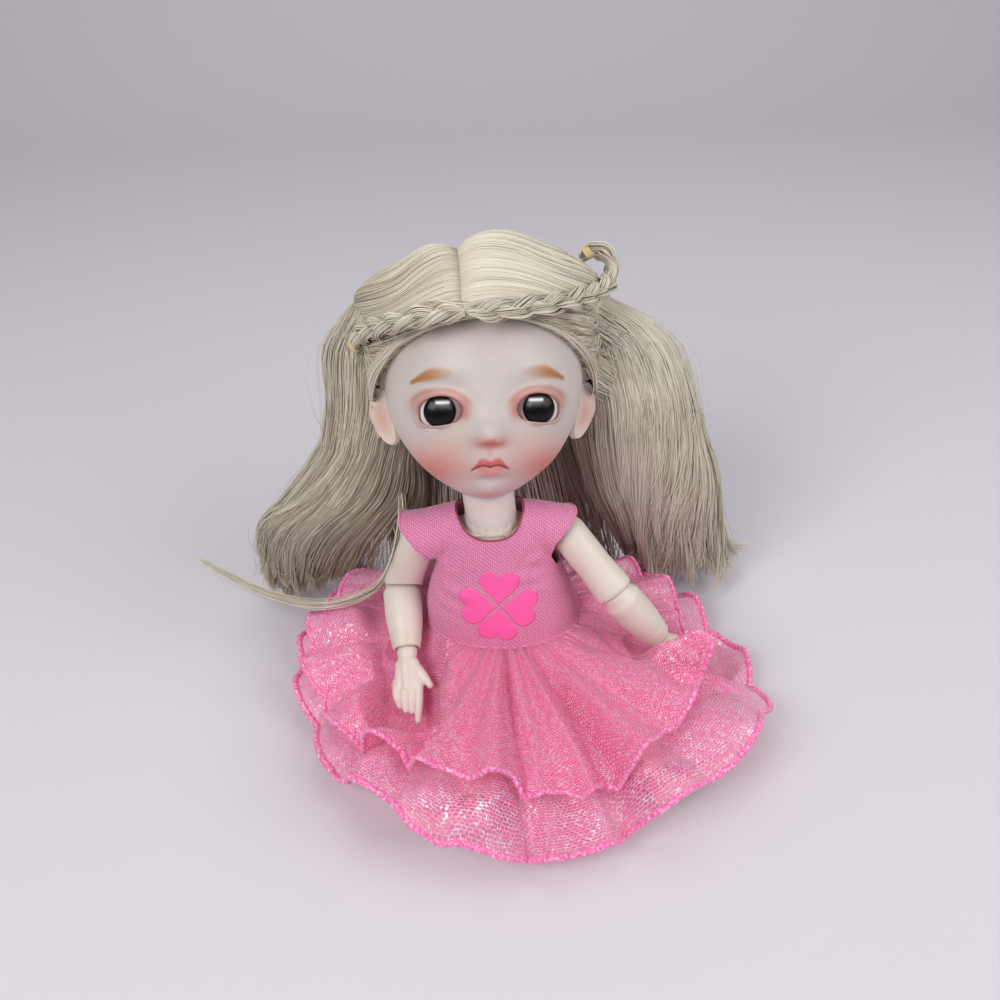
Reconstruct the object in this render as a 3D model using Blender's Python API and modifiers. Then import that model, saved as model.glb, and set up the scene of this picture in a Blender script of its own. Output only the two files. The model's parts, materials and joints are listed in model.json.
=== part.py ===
# Ball jointed doll of about 1/8 scale, seated with its legs forward, in a jersey bodice and a
# two-layer tulle skirt. Metres, +Z up. The doll faces -Y, its right side is -X, and the origin is
# on the floor under the pelvis.

import math

import bmesh
import bpy
from mathutils import Matrix, Vector

# Clearances
GAP = 0.0003
SOCKET_GAP = 0.00032
OVERRUN = 0.004
MERGE = 0.000002

# Torso: each ring is (height, half width, half depth, centre depth)
TORSO_LEAN = math.radians(4)
SEAT_DEPTH = 0.0100
SEAT_CENTRE = 0.0045
HIP_WIDTH = 0.0310
HIP_LEVEL = 0.0085
WAIST_WIDTH = 0.0210
WAIST_DEPTH = 0.0136
WAIST_LEVEL = 0.0225
CHEST_WIDTH_SHARE = 1.351
CHEST_DEPTH = 0.0146
CHEST_LEVEL = 0.0360
SHOULDER_LEVEL = 0.0435
SHOULDER_HALF = 0.0185
CHEST_WIDTH = SHOULDER_HALF * CHEST_WIDTH_SHARE
NECK_BASE_LEVEL = 0.0485
NECK_RADIUS = 0.0062
NECK_BALL_RADIUS = 0.0068
NECK_PIVOT_LEVEL = 0.0622
CHANNEL_RADIUS = 0.0026
ARM_CHANNEL_RADIUS = 0.0013
CHANNEL_FLOOR = 0.0120
LEG_CHANNEL_SHARE = 0.86

# Limbs
HIP_HALF = 0.0095
HIP_DEPTH = 0.0010
HIP_HEIGHT = 0.0080
HIP_BALL_RADIUS = 0.0066
THIGH_LENGTH = 0.0270
THIGH_RADIUS = 0.0067
THIGH_NECK_RADIUS = THIGH_RADIUS * 0.78
KNEE_BALL_RADIUS = 0.0050
KNEE_RADIUS = 0.0059
SHIN_LENGTH = 0.0265
CALF_RADIUS = 0.0060
ANKLE_BALL_RADIUS = 0.0033
ANKLE_RADIUS = 0.0043
ANKLE_HEIGHT = 0.0062
FOOT_LENGTH = 0.0235
FOOT_WIDTH = 0.0100
FOOT_HEIGHT = 0.0082
SOLE_DROP = FOOT_HEIGHT * 0.72
HEEL_SHARE = 0.22
SHOULDER_BALL_RADIUS = 0.0046
UPPER_ARM_LENGTH = 0.0198
UPPER_ARM_RADIUS = 0.0046
ELBOW_BALL_RADIUS = 0.0041
ELBOW_RADIUS = 0.0050
FOREARM_LENGTH = 0.0178
FOREARM_RADIUS = 0.0049
WRIST_BALL_RADIUS = 0.0028
WRIST_RADIUS = 0.0036
HAND_LENGTH = 0.0188
PALM_WIDTH = 0.0084
PALM_THICKNESS = 0.0042
FINGER_RADIUS = 0.00125
THUMB_SIDE = {"right": 1, "left": -1}
JOINT_STEP = 0.0008
LIMB_SEGMENTS = 12

# How the limbs lie: (azimuth, drop below the horizontal), in degrees
SIDES = ("right", "left")
ARM_WAYS = {
    "right": ((152, 69.5), (-84.5, 29.4), (-88, 27)),
    "left": ((-36.6, 41.8), (-7.8, 51.2), (7.8, 40.5)),
}
LEG_SPREAD = {"right": 0, "left": 27}
LEG_ROLL = {"right": 80, "left": 82}
PALM_ACROSS = {"right": (1, 0.1, 0.35), "left": (0.25, -1, 0.2)}

# Elastic and wire
ELASTIC_RADIUS = 0.0009
STRETCH_HALF = 0.0022
ELBOW_START_SHARE = 0.9
WIRE_RADIUS = 0.00040
HOOK_RADIUS = 0.0010
HOOK_LENGTH = HOOK_RADIUS * 3
HOOK_BORE = 0.00155
ELASTIC_BORE = 0.0015

# Head, in its own upright frame about its centre
HEAD_TILT = math.radians(-25)
HEAD_ROLL = math.radians(2.4)
HEAD_YAW = math.radians(3.5)
HEAD_HALF_WIDTH = 0.0230
HEAD_FRONT = 0.0215
HEAD_BACK = 0.0250
HEAD_TOP = 0.0290
HEAD_BOTTOM = 0.0278
HEAD_WALL = 0.0026
NECK_BELOW_HEAD = 0.0228
CAP_LEVEL = 0.0130
CAP_SLOPE = math.radians(18)
CUP_WALL = 0.0016
EYE_RADIUS = 0.0058
EYE_HALF_SPACING = 0.0104
EYE_LEVEL = -0.0050
EYE_DEPTH = -0.0138
EYE_OPENING_WIDTH = 0.0112
EYE_OPENING_HEIGHT = 0.0092
PUTTY_RADIUS = 0.0012
EAR_HEIGHT = 0.0125
EAR_WIDTH = 0.0072
EAR_THICKNESS = 0.0034
EAR_LEVEL = -0.0088
EAR_DEPTH = 0.0020
EAR_ROOM = 0.0008
MAGNET_RADIUS = 0.0009
MAGNET_THICKNESS = 0.0009

# Wig
WIG_CAP_WALL = 0.0006
HAIR_THICKNESS = 0.0045
HAIRLINE_LEVEL = 0.0150
HAIRLINE_SLOPE = math.radians(42)
BRAID_RADIUS = 0.0026
BRAID_STOPS = 9
BRAID_START = 8
BRAID_END = 84
BRAID_LEVEL = 0.53
BRAID_RISE = {"right": -0.08, "left": 0.08}
BRAID_SPREAD = 0.40
TIE_RADIUS = 0.0030
TIE_WIDTH = 0.0022

# Where the hair runs, as shares of the wig's reach: (sideways, back, height, width, thickness)
HAIR_REACH = 0.0560
HAIR_BACK = 0.0330
HAIR_TOP_LEVEL = NECK_PIVOT_LEVEL * 1.608
HAIR_TURN = 12
HAIR_WIDTH = 0.0125
HAIR_DEPTH = 0.0062
SIDE_HAIR_SHARES = {
    "right": (
        (0.430, 0.70, 0.99, 0.60, 0.60),
        (0.527, 0.68, 0.87, 0.72, 0.85),
        (0.527, 0.60, 0.73, 0.70, 1.00),
        (0.536, 0.58, 0.61, 0.74, 1.00),
    ),
    "left": (
        (0.536, 0.70, 0.99, 0.64, 0.60),
        (0.607, 0.68, 0.87, 0.88, 0.85),
        (0.688, 0.60, 0.73, 1.00, 1.00),
        (0.732, 0.58, 0.61, 1.12, 1.00),
    ),
}
FALL_HAIR_SHARES = {
    "right": (
        (0.536, 0.58, 0.604, 0.74, 1.00),
        (0.68, 0.64, 0.45, 1.24, 1.00),
        (0.82, 0.74, 0.28, 1.58, 1.00),
        (0.875, 0.82, 0.12, 1.54, 0.92),
        (0.893, 0.84, 0.03, 1.40, 0.70),
    ),
    "left": (
        (0.732, 0.58, 0.604, 1.12, 1.00),
        (0.786, 0.64, 0.45, 1.23, 1.00),
        (0.84, 0.74, 0.28, 1.16, 1.00),
        (0.893, 0.82, 0.12, 1.08, 0.92),
        (0.91, 0.84, 0.03, 1.00, 0.70),
    ),
}
BACK_HAIR_SHARES = (
    (0.0, 0.92, 0.640, 2.2, 0.70),
    (0.0, 0.98, 0.42, 2.1, 0.75),
    (0.0, 1.10, 0.25, 2.0, 0.75),
    (0.0, 1.14, 0.10, 2.0, 0.70),
    (0.0, 1.14, 0.02, 1.9, 0.60),
)

# Dress
JERSEY = 0.0007
BODICE_WIDTH = SHOULDER_HALF * 2.162
BODICE_DEPTH = 0.0270
BODICE_HEM_LEVEL = 0.0178
COLLAR_LEVEL = 0.0505
SLEEVE_LENGTH = 0.0020
SLEEVE_FLARE = 0.0012
CLOVER_LEVEL = 0.0295
CLOVER_LOBE_RADIUS = 0.0041
CLOVER_THICKNESS = 0.0004
CLOVER_TURN = 4
CLOVER_SIDEWAYS = 0.0012
SNAP_RADIUS = 0.0022
SNAP_THICKNESS = 0.0009
TULLE = 0.0005
LAYER_SPACING = 0.0014
SKIRT_LEFT = 0.0640
SKIRT_RIGHT = 0.0530
SKIRT_FRONT = 0.0665
SKIRT_BACK = 0.0250
SKIRT_ROW_SHARES = (0.0, 0.16, 0.34, 0.52, 0.68, 0.84, 1.0)
HEM_HEIGHT = 0.0024
FOLD_HEIGHT = 0.0015
FOLDS_HALF = 7
FLOOR_CLEARANCE = 0.0006
SKIRT_NARROWING = 8
SKIRT_PUFF = 0.0016
SKIRT_TOP_LEVEL = BODICE_HEM_LEVEL - GAP - TULLE / 2
WAIST_HALF_WIDTH = BODICE_WIDTH / 2 * 0.95
WAIST_HALF_DEPTH = BODICE_DEPTH / 2 * 0.95
WAIST_EASE = 6
DRAPE_GAP = 0.0010
DRAPE_WIDTH = 0.0160
CREST_SHARE = 0.95
DIP_WIDTH = 0.0070
DIP_RISE = 0.0080

# Dress: bodice rings are (share of the height, half width, half depth)
BODICE_SHARES = (
    (0.00, 1.00, 1.00),
    (0.18, 0.97, 0.96),
    (0.38, 0.87, 0.86),
    (0.56, 0.77, 0.75),
    (0.743, 0.765, 0.67),
    (0.87, 0.71, 0.61),
    (0.955, 0.53, 0.58),
    (1.00, 0.455, 0.61),
)

# How the joints swing from rest, in degrees
ELBOW_BEND = (0, 110)
KNEE_BEND = (0, 100)
HIP_FLEX = (-90, 8)
HIP_SPREAD = (-10, 50)
WRIST_BEND = 40
ANKLE_BEND = 35
NECK_NOD = (-8, 34)
CLEARANCE_STEP = 18


def clear_scene():
    for obj in list(bpy.data.objects):
        bpy.data.objects.remove(obj, do_unlink=True)


def new_collection(name):
    made = bpy.data.collections.new(name)
    bpy.context.scene.collection.children.link(made)
    return made


clear_scene()
DOLL = new_collection("ball_jointed_doll")
CUTTERS = new_collection("cutters")


# Materials


def material(name, colour, roughness, metallic=0.0):
    made = bpy.data.materials.new(name)
    made.use_nodes = True
    shader = made.node_tree.nodes["Principled BSDF"]
    shader.inputs["Base Color"].default_value = (*colour, 1)
    shader.inputs["Roughness"].default_value = roughness
    shader.inputs["Metallic"].default_value = metallic
    made.diffuse_color = (*colour, 1)
    return made


RESIN = material("skin_resin", (0.78, 0.70, 0.62), 0.45)
GLASS = material("eye_glass", (0.02, 0.02, 0.03), 0.08)
PUTTY = material("putty", (0.85, 0.83, 0.78), 0.7)
WIRE = material("steel_wire", (0.6, 0.6, 0.62), 0.3, 1.0)
ELASTIC = material("white_elastic", (0.86, 0.86, 0.84), 0.8)
WIG = material("wig_net", (0.45, 0.36, 0.26), 0.8)
HAIR = material("blonde_hair", (0.62, 0.52, 0.36), 0.5)
BAND = material("hair_band", (0.80, 0.70, 0.42), 0.6)
KNIT = material("pink_jersey", (0.72, 0.20, 0.42), 0.85)
PRINT = material("clover_print", (0.90, 0.08, 0.35), 0.5)
MESH = material("glitter_tulle", (0.90, 0.20, 0.45), 0.6)


# Shared shapes


def add_object(name, mesh, finish, tool=False):
    obj = bpy.data.objects.new(name, mesh)
    (CUTTERS if tool else DOLL).objects.link(obj)
    if tool:
        obj.hide_render = True
        obj.display_type = "WIRE"
    else:
        mesh.materials.append(finish)
    return obj


def from_bmesh(name, bm, finish=None, tool=False):
    bmesh.ops.recalc_face_normals(bm, faces=bm.faces)
    mesh = bpy.data.meshes.new(name)
    bm.to_mesh(mesh)
    bm.free()
    return add_object(name, mesh, finish, tool)


def apply_boolean(obj, tool, operation="DIFFERENCE"):
    step = obj.modifiers.new(operation.lower(), "BOOLEAN")
    step.operation = operation
    step.solver = "EXACT"
    step.object = tool
    return obj


def frame_of(origin, along, side=(1, 0, 0)):
    """A placement at origin whose local Z runs along, with local X as near side as it can be."""
    z = Vector(along).normalized()
    if abs(Vector(side).normalized().dot(z)) > 0.95:
        side = (0, 1, 0)
    x = Vector(side) - Vector(side).dot(z) * z
    x.normalize()
    turn = Matrix((x, z.cross(x), z)).transposed()
    return Matrix.Translation(origin) @ turn.to_4x4()


def turned(name, profile, placement, finish=None, tool=False, segments=LIMB_SEGMENTS):
    """A solid turned about its local Z; the profile runs from its top to its bottom."""
    mesh = bpy.data.meshes.new(name)
    if profile[0] == profile[-1]:
        profile = profile[:-1]
        edges = [(i, (i + 1) % len(profile)) for i in range(len(profile))]
    else:
        edges = [(i, i + 1) for i in range(len(profile) - 1)]
    mesh.from_pydata([(r, 0, z) for r, z in profile], edges, [])
    obj = add_object(name, mesh, finish, tool)
    obj.matrix_world = placement
    screw = obj.modifiers.new("turn", "SCREW")
    screw.steps = screw.render_steps = segments
    screw.use_merge_vertices = True
    screw.merge_threshold = MERGE
    return obj


def arc(radius, centre, start, end, count):
    """Profile points round a circle on the axis, angles in degrees up from the horizontal."""
    angles = [math.radians(start + (end - start) * i / count) for i in range(count + 1)]
    points = [(radius * math.cos(a), centre + radius * math.sin(a)) for a in angles]
    return [(0.0 if abs(r) < MERGE else r, z) for r, z in points]


def rod(name, start, end, radius, finish=None, tool=False, segments=8, round_ends=True):
    """A straight round rod from start to end, with round or flat ends inside that length."""
    start, end = Vector(start), Vector(end)
    length = (end - start).length
    if round_ends:
        profile = arc(radius, length - radius, 90, 0, 2) + arc(radius, radius, 0, -90, 2)
    else:
        profile = [(0.0, length), (radius, length), (radius, 0.0), (0.0, 0.0)]
    return turned(name, profile, frame_of(start, end - start), finish, tool, segments)


def socket(name, centre, radius, detail=12):
    """A ball-shaped cutter whose flat facets stay outside the radius."""
    around = radius / math.cos(math.pi / detail) / math.cos(math.pi / (detail * 5 // 8) / 2)
    return ball(name, centre, around, tool=True, detail=detail)


def ball(name, centre, radius, finish=None, tool=False, scale=(1, 1, 1), turn=None, detail=12):
    bm = bmesh.new()
    bmesh.ops.create_uvsphere(bm, u_segments=detail, v_segments=detail * 5 // 8, radius=radius)
    bmesh.ops.scale(bm, vec=scale, verts=bm.verts)
    obj = from_bmesh(name, bm, finish, tool)
    obj.matrix_world = Matrix.Translation(centre) @ (turn or Matrix()).to_4x4()
    return obj


def box(name, low, high, placement=None):
    """A cutter between two corners."""
    bm = bmesh.new()
    low, high = Vector(low), Vector(high)
    bmesh.ops.create_cube(bm, size=1)
    bmesh.ops.scale(bm, vec=high - low, verts=bm.verts)
    bmesh.ops.translate(bm, vec=(low + high) / 2, verts=bm.verts)
    obj = from_bmesh(name, bm, tool=True)
    obj.matrix_world = placement or Matrix()
    return obj


def lofted(name, rings, finish=None, tool=False, closed_ends=True):
    """A skin over rings of equally many points, with flat ends unless it stays open."""
    bm = bmesh.new()
    rows = [[bm.verts.new(p) for p in ring] for ring in rings]
    count = len(rings[0])
    for low, high in zip(rows, rows[1:]):
        for i in range(count):
            j = (i + 1) % count
            bm.faces.new((low[i], low[j], high[j], high[i]))
    if closed_ends:
        bm.faces.new(rows[0])
        bm.faces.new(rows[-1])
    return from_bmesh(name, bm, finish, tool)


def ellipse(centre, half_x, half_y, count):
    angles = [math.tau * i / count for i in range(count)]
    return [Vector(centre) + Vector((half_x * math.cos(a), half_y * math.sin(a), 0)) for a in angles]


def thicken(obj, thickness, offset=-1):
    solid = obj.modifiers.new("thickness", "SOLIDIFY")
    solid.thickness = thickness
    solid.offset = offset
    solid.use_even_offset = False
    return obj


def direction(azimuth, drop):
    azimuth, drop = math.radians(azimuth), math.radians(drop)
    level = math.cos(drop)
    return Vector((level * math.cos(azimuth), level * math.sin(azimuth), -math.sin(drop)))


def turn_about(point, axis, degrees):
    at = Matrix.Translation(point)
    return at @ Matrix.Rotation(math.radians(degrees), 4, Vector(axis)) @ at.inverted()


def steps_between(low, high, step=CLEARANCE_STEP):
    count = max(1, math.ceil((high - low) / step))
    return [low + (high - low) * i / count for i in range(count + 1)]


# Skeleton


def lean(height):
    """How far the torso's middle has leaned sideways at a height."""
    return -height * math.tan(TORSO_LEAN)


SIGN = {"right": -1, "left": 1}
SHOULDER = {
    s: Vector((lean(SHOULDER_LEVEL) + SIGN[s] * SHOULDER_HALF, 0, SHOULDER_LEVEL)) for s in SIDES
}
NECK_PIVOT = Vector((lean(NECK_PIVOT_LEVEL), 0, NECK_PIVOT_LEVEL))
ARM = {}
for side in SIDES:
    ways = [direction(*way) for way in ARM_WAYS[side]]
    elbow = SHOULDER[side] + UPPER_ARM_LENGTH * ways[0]
    wrist = elbow + FOREARM_LENGTH * ways[1]
    ARM[side] = {
        "ways": ways,
        "shoulder": SHOULDER[side],
        "elbow": elbow,
        "wrist": wrist,
        "tip": wrist + HAND_LENGTH * ways[2],
        "elbow_axis": ways[0].cross(ways[1]).normalized(),
        "elbow_rest": math.degrees(ways[0].angle(ways[1])),
    }

LEG_DROP = math.degrees(math.asin((HIP_HEIGHT - ANKLE_HEIGHT) / (THIGH_LENGTH + SHIN_LENGTH)))
LEG_CHANNEL_INNER = Vector((lean(WAIST_LEVEL), SEAT_CENTRE * 0.4, WAIST_LEVEL * LEG_CHANNEL_SHARE))
LEG = {}
for side in SIDES:
    sign = SIGN[side]
    way = direction(-90 + sign * LEG_SPREAD[side], LEG_DROP)
    hip = Vector((sign * HIP_HALF, HIP_DEPTH, HIP_HEIGHT))
    outward = Vector((-way.y * sign, way.x * sign, 0)).normalized()
    lift = (Vector((0, 0, 1)) - way * way.z).normalized()
    roll = math.radians(LEG_ROLL[side])
    toes = math.cos(roll) * lift + math.sin(roll) * outward
    LEG[side] = {
        "way": way,
        "hip": hip,
        "knee": hip + THIGH_LENGTH * way,
        "ankle": hip + (THIGH_LENGTH + SHIN_LENGTH) * way,
        "toes": toes,
        "knee_axis": lift.cross(way).normalized(),
        "foot_axis": toes.cross(way).normalized(),
    }

HEAD_TURN = (
    Matrix.Rotation(HEAD_YAW, 4, "Z")
    @ Matrix.Rotation(HEAD_ROLL, 4, "Y")
    @ Matrix.Rotation(HEAD_TILT, 4, "X")
)
HEAD_CENTRE = NECK_PIVOT + HEAD_TURN @ Vector((0, 0, NECK_BELOW_HEAD))
HEAD_PLACE = Matrix.Translation(HEAD_CENTRE) @ HEAD_TURN


# Torso


def make_torso():
    count = 16
    seat = (0.0, HIP_WIDTH / 2 * 0.92, SEAT_DEPTH * 0.86, SEAT_CENTRE)
    rings = [
        seat,
        (HIP_LEVEL * 0.35, HIP_WIDTH / 2, SEAT_DEPTH * 0.98, SEAT_CENTRE),
        (HIP_LEVEL, HIP_WIDTH / 2, SEAT_DEPTH, SEAT_CENTRE),
        (HIP_LEVEL * 1.9, HIP_WIDTH / 2 * 0.84, SEAT_DEPTH * 0.80, SEAT_CENTRE * 0.7),
        (WAIST_LEVEL, WAIST_WIDTH / 2, WAIST_DEPTH / 2, SEAT_CENTRE * 0.4),
        ((WAIST_LEVEL + CHEST_LEVEL) / 2, CHEST_WIDTH / 2 * 0.93, CHEST_DEPTH / 2 * 0.96, 0.0),
        (CHEST_LEVEL, CHEST_WIDTH / 2 * 0.97, CHEST_DEPTH / 2, 0.0),
        (CHEST_LEVEL * 1.1, SHOULDER_HALF * 0.73, CHEST_DEPTH / 2 * 0.96, 0.0),
        (SHOULDER_LEVEL * 0.985, SHOULDER_HALF * 0.82, CHEST_DEPTH / 2 * 0.86, 0.0),
        (SHOULDER_LEVEL * 1.075, SHOULDER_HALF * 0.66, CHEST_DEPTH / 2 * 0.80, 0.0),
        (NECK_BASE_LEVEL, NECK_RADIUS * 1.12, NECK_RADIUS * 1.06, 0.0),
        (NECK_BASE_LEVEL * 1.06, NECK_RADIUS, NECK_RADIUS, 0.0),
    ]
    for radius, height in arc(NECK_BALL_RADIUS, NECK_PIVOT_LEVEL, -24, 78, 5):
        rings.append((height, radius, radius, 0.0))
    torso = lofted(
        "torso",
        [ellipse((lean(min(z, NECK_PIVOT_LEVEL)), cy, z), rx, ry, count) for z, rx, ry, cy in rings],
        RESIN,
    )
    crown = NECK_PIVOT_LEVEL + NECK_BALL_RADIUS + OVERRUN
    floor = Vector((lean(CHANNEL_FLOOR), SEAT_CENTRE * 0.7, CHANNEL_FLOOR))
    top = Vector((lean(crown), 0, crown))
    apply_boolean(torso, rod("neck_channel", floor, top, CHANNEL_RADIUS, tool=True, round_ends=False))
    past = Vector((SHOULDER_BALL_RADIUS * 1.6, 0, 0))
    bore(torso, "arm_channel", SHOULDER["right"] - past, SHOULDER["left"] + past, ARM_CHANNEL_RADIUS)
    for side in SIDES:
        sign = SIGN[side]
        hip = LEG[side]["hip"]
        ways = []
        for spread in (HIP_SPREAD[0], HIP_SPREAD[1] / 2, HIP_SPREAD[1]):
            ahead = direction(-90 + sign * spread, LEG_DROP)
            ways += swung(ahead, (-1, 0, 0), (HIP_FLEX[0], HIP_FLEX[0] / 2, 0, HIP_FLEX[1]))
        stops = (
            (GAP, THIGH_NECK_RADIUS + GAP * 2),
            (HIP_BALL_RADIUS * 0.6, THIGH_NECK_RADIUS + GAP * 2),
            (HIP_BALL_RADIUS * 0.9, THIGH_RADIUS + GAP * 2),
            (THIGH_LENGTH, THIGH_RADIUS + GAP * 2),
        )
        fan(torso, f"hip_room_{side}", hip, ways, stops, 10)
        room = SHOULDER_BALL_RADIUS + SOCKET_GAP
        apply_boolean(torso, socket(f"shoulder_socket_{side}", SHOULDER[side], room))
        apply_boolean(torso, socket(f"hip_socket_{side}", hip, HIP_BALL_RADIUS + SOCKET_GAP))
        bore(torso, f"leg_channel_{side}", hip, LEG_CHANNEL_INNER, ARM_CHANNEL_RADIUS)


# Limbs


def limb_profile(length, ball_radius, neck_radius, end_radius, bulge, step, end_gap):
    """From the far end at the top down to the ball at the bottom, whose centre is at 0."""
    neck_angle = math.degrees(math.acos(neck_radius / ball_radius))
    shares = ((0.97, 1.0, 0.0), (0.80, 0.75, 0.25), (0.55, 0.2, 0.8), (0.38, 0.0, 1.0))
    body = [(end * end_radius + mid * bulge, length * at) for at, end, mid in shares]
    points = [(0.0, length - end_gap), (end_radius, length - end_gap)]
    points += body[1:]
    points += [(bulge * 0.96, step * 2.2), (bulge * 0.86, step)]
    points += [(neck_radius, step * 0.9)]
    points += arc(ball_radius, 0.0, neck_angle, -90, 4)
    return points


def bend_clearance(owner, name, pivot, way, axis, angles, radius, step, reach, swell=1.0):
    """Cuts owner clear of a limb that turns about pivot: one cutter for each angle."""
    profile = [
        (0.0, reach),
        (radius * swell + GAP, reach),
        (radius * swell + GAP, radius * 1.5),
        (radius + GAP, step - GAP),
        (0.0, step - GAP),
    ]
    base = frame_of(pivot, way)
    for index, angle in enumerate(angles):
        placement = turn_about(pivot, axis, angle) @ base
        tool = turned(f"{name}_{index}", profile, placement, tool=True, segments=12)
        apply_boolean(owner, tool)


def bore(owner, name, start, end, radius):
    apply_boolean(owner, rod(name, start, end, radius, tool=True, round_ends=False))


def fan(owner, name, pivot, ways, stops, count=12):
    """Cuts owner clear of a rod that leaves pivot in any of these ways: one rounded wedge.
    The stops are (distance from pivot, radius there)."""
    bm = bmesh.new()
    for way in ways:
        for distance, radius in stops:
            ring = frame_of(pivot + way * distance, way)
            for point in ellipse((0, 0, 0), radius, radius, count):
                bm.verts.new(ring @ point)
    hull = bmesh.ops.convex_hull(bm, input=bm.verts)
    inside = {v for v in hull["geom_interior"] + hull["geom_unused"] if isinstance(v, bmesh.types.BMVert)}
    bmesh.ops.delete(bm, geom=list(inside), context="VERTS")
    apply_boolean(owner, from_bmesh(name, bm, tool=True))


def swung(way, axis, angles):
    return [Matrix.Rotation(math.radians(a), 3, Vector(axis)) @ Vector(way) for a in angles]


def slot_bores(owner, name, pivot, back, axis, bend):
    """A slot in a joint's ball, so that the hook stays in line with the limb as the ball bends."""
    ways = swung(back, axis, (-bend, 0, bend))
    stops = ((-HOOK_RADIUS * 1.6, HOOK_BORE), (WRIST_BALL_RADIUS * 1.5, HOOK_BORE))
    fan(owner, name, pivot, ways, stops, 8)


def make_arm(side):
    arm = ARM[side]
    upper, fore, hand = arm["ways"]
    shoulder, elbow, wrist = arm["shoulder"], arm["elbow"], arm["wrist"]
    profile = limb_profile(
        UPPER_ARM_LENGTH,
        SHOULDER_BALL_RADIUS,
        SHOULDER_BALL_RADIUS * 0.86,
        ELBOW_RADIUS,
        UPPER_ARM_RADIUS,
        SHOULDER_BALL_RADIUS * 0.8,
        JOINT_STEP,
    )
    piece = turned(f"upper_arm_{side}", profile, frame_of(shoulder, upper), RESIN)
    apply_boolean(piece, socket(f"elbow_socket_{side}", elbow, ELBOW_BALL_RADIUS + SOCKET_GAP))
    bore(piece, f"upper_arm_bore_{side}", shoulder, elbow, ELASTIC_BORE)
    apply_boolean(piece, socket(f"shoulder_hollow_{side}", shoulder, CHANNEL_RADIUS, 10))
    mouth = shoulder - Vector((SIGN[side] * SHOULDER_BALL_RADIUS * 1.2, 0, 0))
    bore(piece, f"shoulder_mouth_{side}", shoulder, mouth, ELASTIC_BORE)
    straight = [ELBOW_BEND[0] - arm["elbow_rest"], ELBOW_BEND[1] - arm["elbow_rest"]]
    bend_clearance(
        piece,
        f"elbow_room_{side}",
        elbow,
        fore,
        arm["elbow_axis"],
        steps_between(*straight),
        ELBOW_RADIUS,
        JOINT_STEP,
        FOREARM_LENGTH * 0.7,
    )

    profile = limb_profile(
        FOREARM_LENGTH,
        ELBOW_BALL_RADIUS,
        ELBOW_BALL_RADIUS * 0.97,
        WRIST_RADIUS,
        FOREARM_RADIUS,
        JOINT_STEP,
        JOINT_STEP,
    )
    piece = turned(f"forearm_{side}", profile, frame_of(elbow, fore), RESIN)
    apply_boolean(piece, socket(f"wrist_socket_{side}", wrist, WRIST_BALL_RADIUS + SOCKET_GAP))
    mouth = elbow - fore * ELBOW_BALL_RADIUS * 1.2
    bore(piece, f"forearm_bore_{side}", mouth, wrist, HOOK_BORE)
    flat = frame_of(wrist, hand, PALM_ACROSS[side])
    bend_clearance(
        piece,
        f"wrist_room_{side}",
        wrist,
        hand,
        flat.col[0].to_3d(),
        steps_between(-WRIST_BEND, WRIST_BEND),
        PALM_WIDTH * 0.42,
        JOINT_STEP * 1.6,
        HAND_LENGTH * 0.5,
    )
    make_hand(side, flat)


def make_hand(side, placement):
    """Palm, one straight finger, three shorter ones and a thumb, on the wrist's ball."""
    name = f"hand_{side}"
    inner = THUMB_SIDE[side]
    across, normal, along = (placement.col[i].to_3d() for i in range(3))
    wrist = placement.translation

    def at(x, y, z):
        return wrist + across * x + normal * y + along * z

    start = JOINT_STEP * 1.8
    palm_end = HAND_LENGTH * 0.52
    half, thick = PALM_WIDTH / 2, PALM_THICKNESS / 2
    shares = ((0.62, 0.80), (0.80, 0.92), (1.0, 1.0), (0.96, 0.92), (0.88, 0.70))
    rings = []
    for index, (wide, deep) in enumerate(shares):
        z = start + (palm_end - start) * index / (len(shares) - 1)
        ring = ellipse((0, 0, 0), half * wide, thick * deep, 10)
        rings.append([at(p.x, p.y, z) for p in ring])
    palm = lofted(name, rings, RESIN)
    apply_boolean(palm, ball(f"wrist_ball_{side}", wrist, WRIST_BALL_RADIUS, tool=True, detail=10), "UNION")
    spacing = PALM_WIDTH * 0.225
    reaches = (1.0, 0.83, 0.80, 0.74)
    for index, reach in enumerate(reaches):
        x = inner * (1.5 - index) * spacing
        root = at(x, 0, palm_end - FINGER_RADIUS * 2)
        tip = at(x * 0.9, -FINGER_RADIUS * index * 0.35, HAND_LENGTH * reach)
        finger = rod(f"finger_{side}_{index}", root, tip, FINGER_RADIUS, tool=True, segments=6)
        apply_boolean(palm, finger, "UNION")
    root = at(inner * half * 0.45, 0, HAND_LENGTH * 0.18)
    tip = at(inner * half * 1.65, -FINGER_RADIUS * 0.4, HAND_LENGTH * 0.52)
    thumb = rod(f"thumb_{side}", root, tip, FINGER_RADIUS * 1.1, tool=True, segments=6)
    apply_boolean(palm, thumb, "UNION")
    slot_bores(palm, f"hand_slot_{side}", wrist, -ARM[side]["ways"][1], across, WRIST_BEND)


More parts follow.
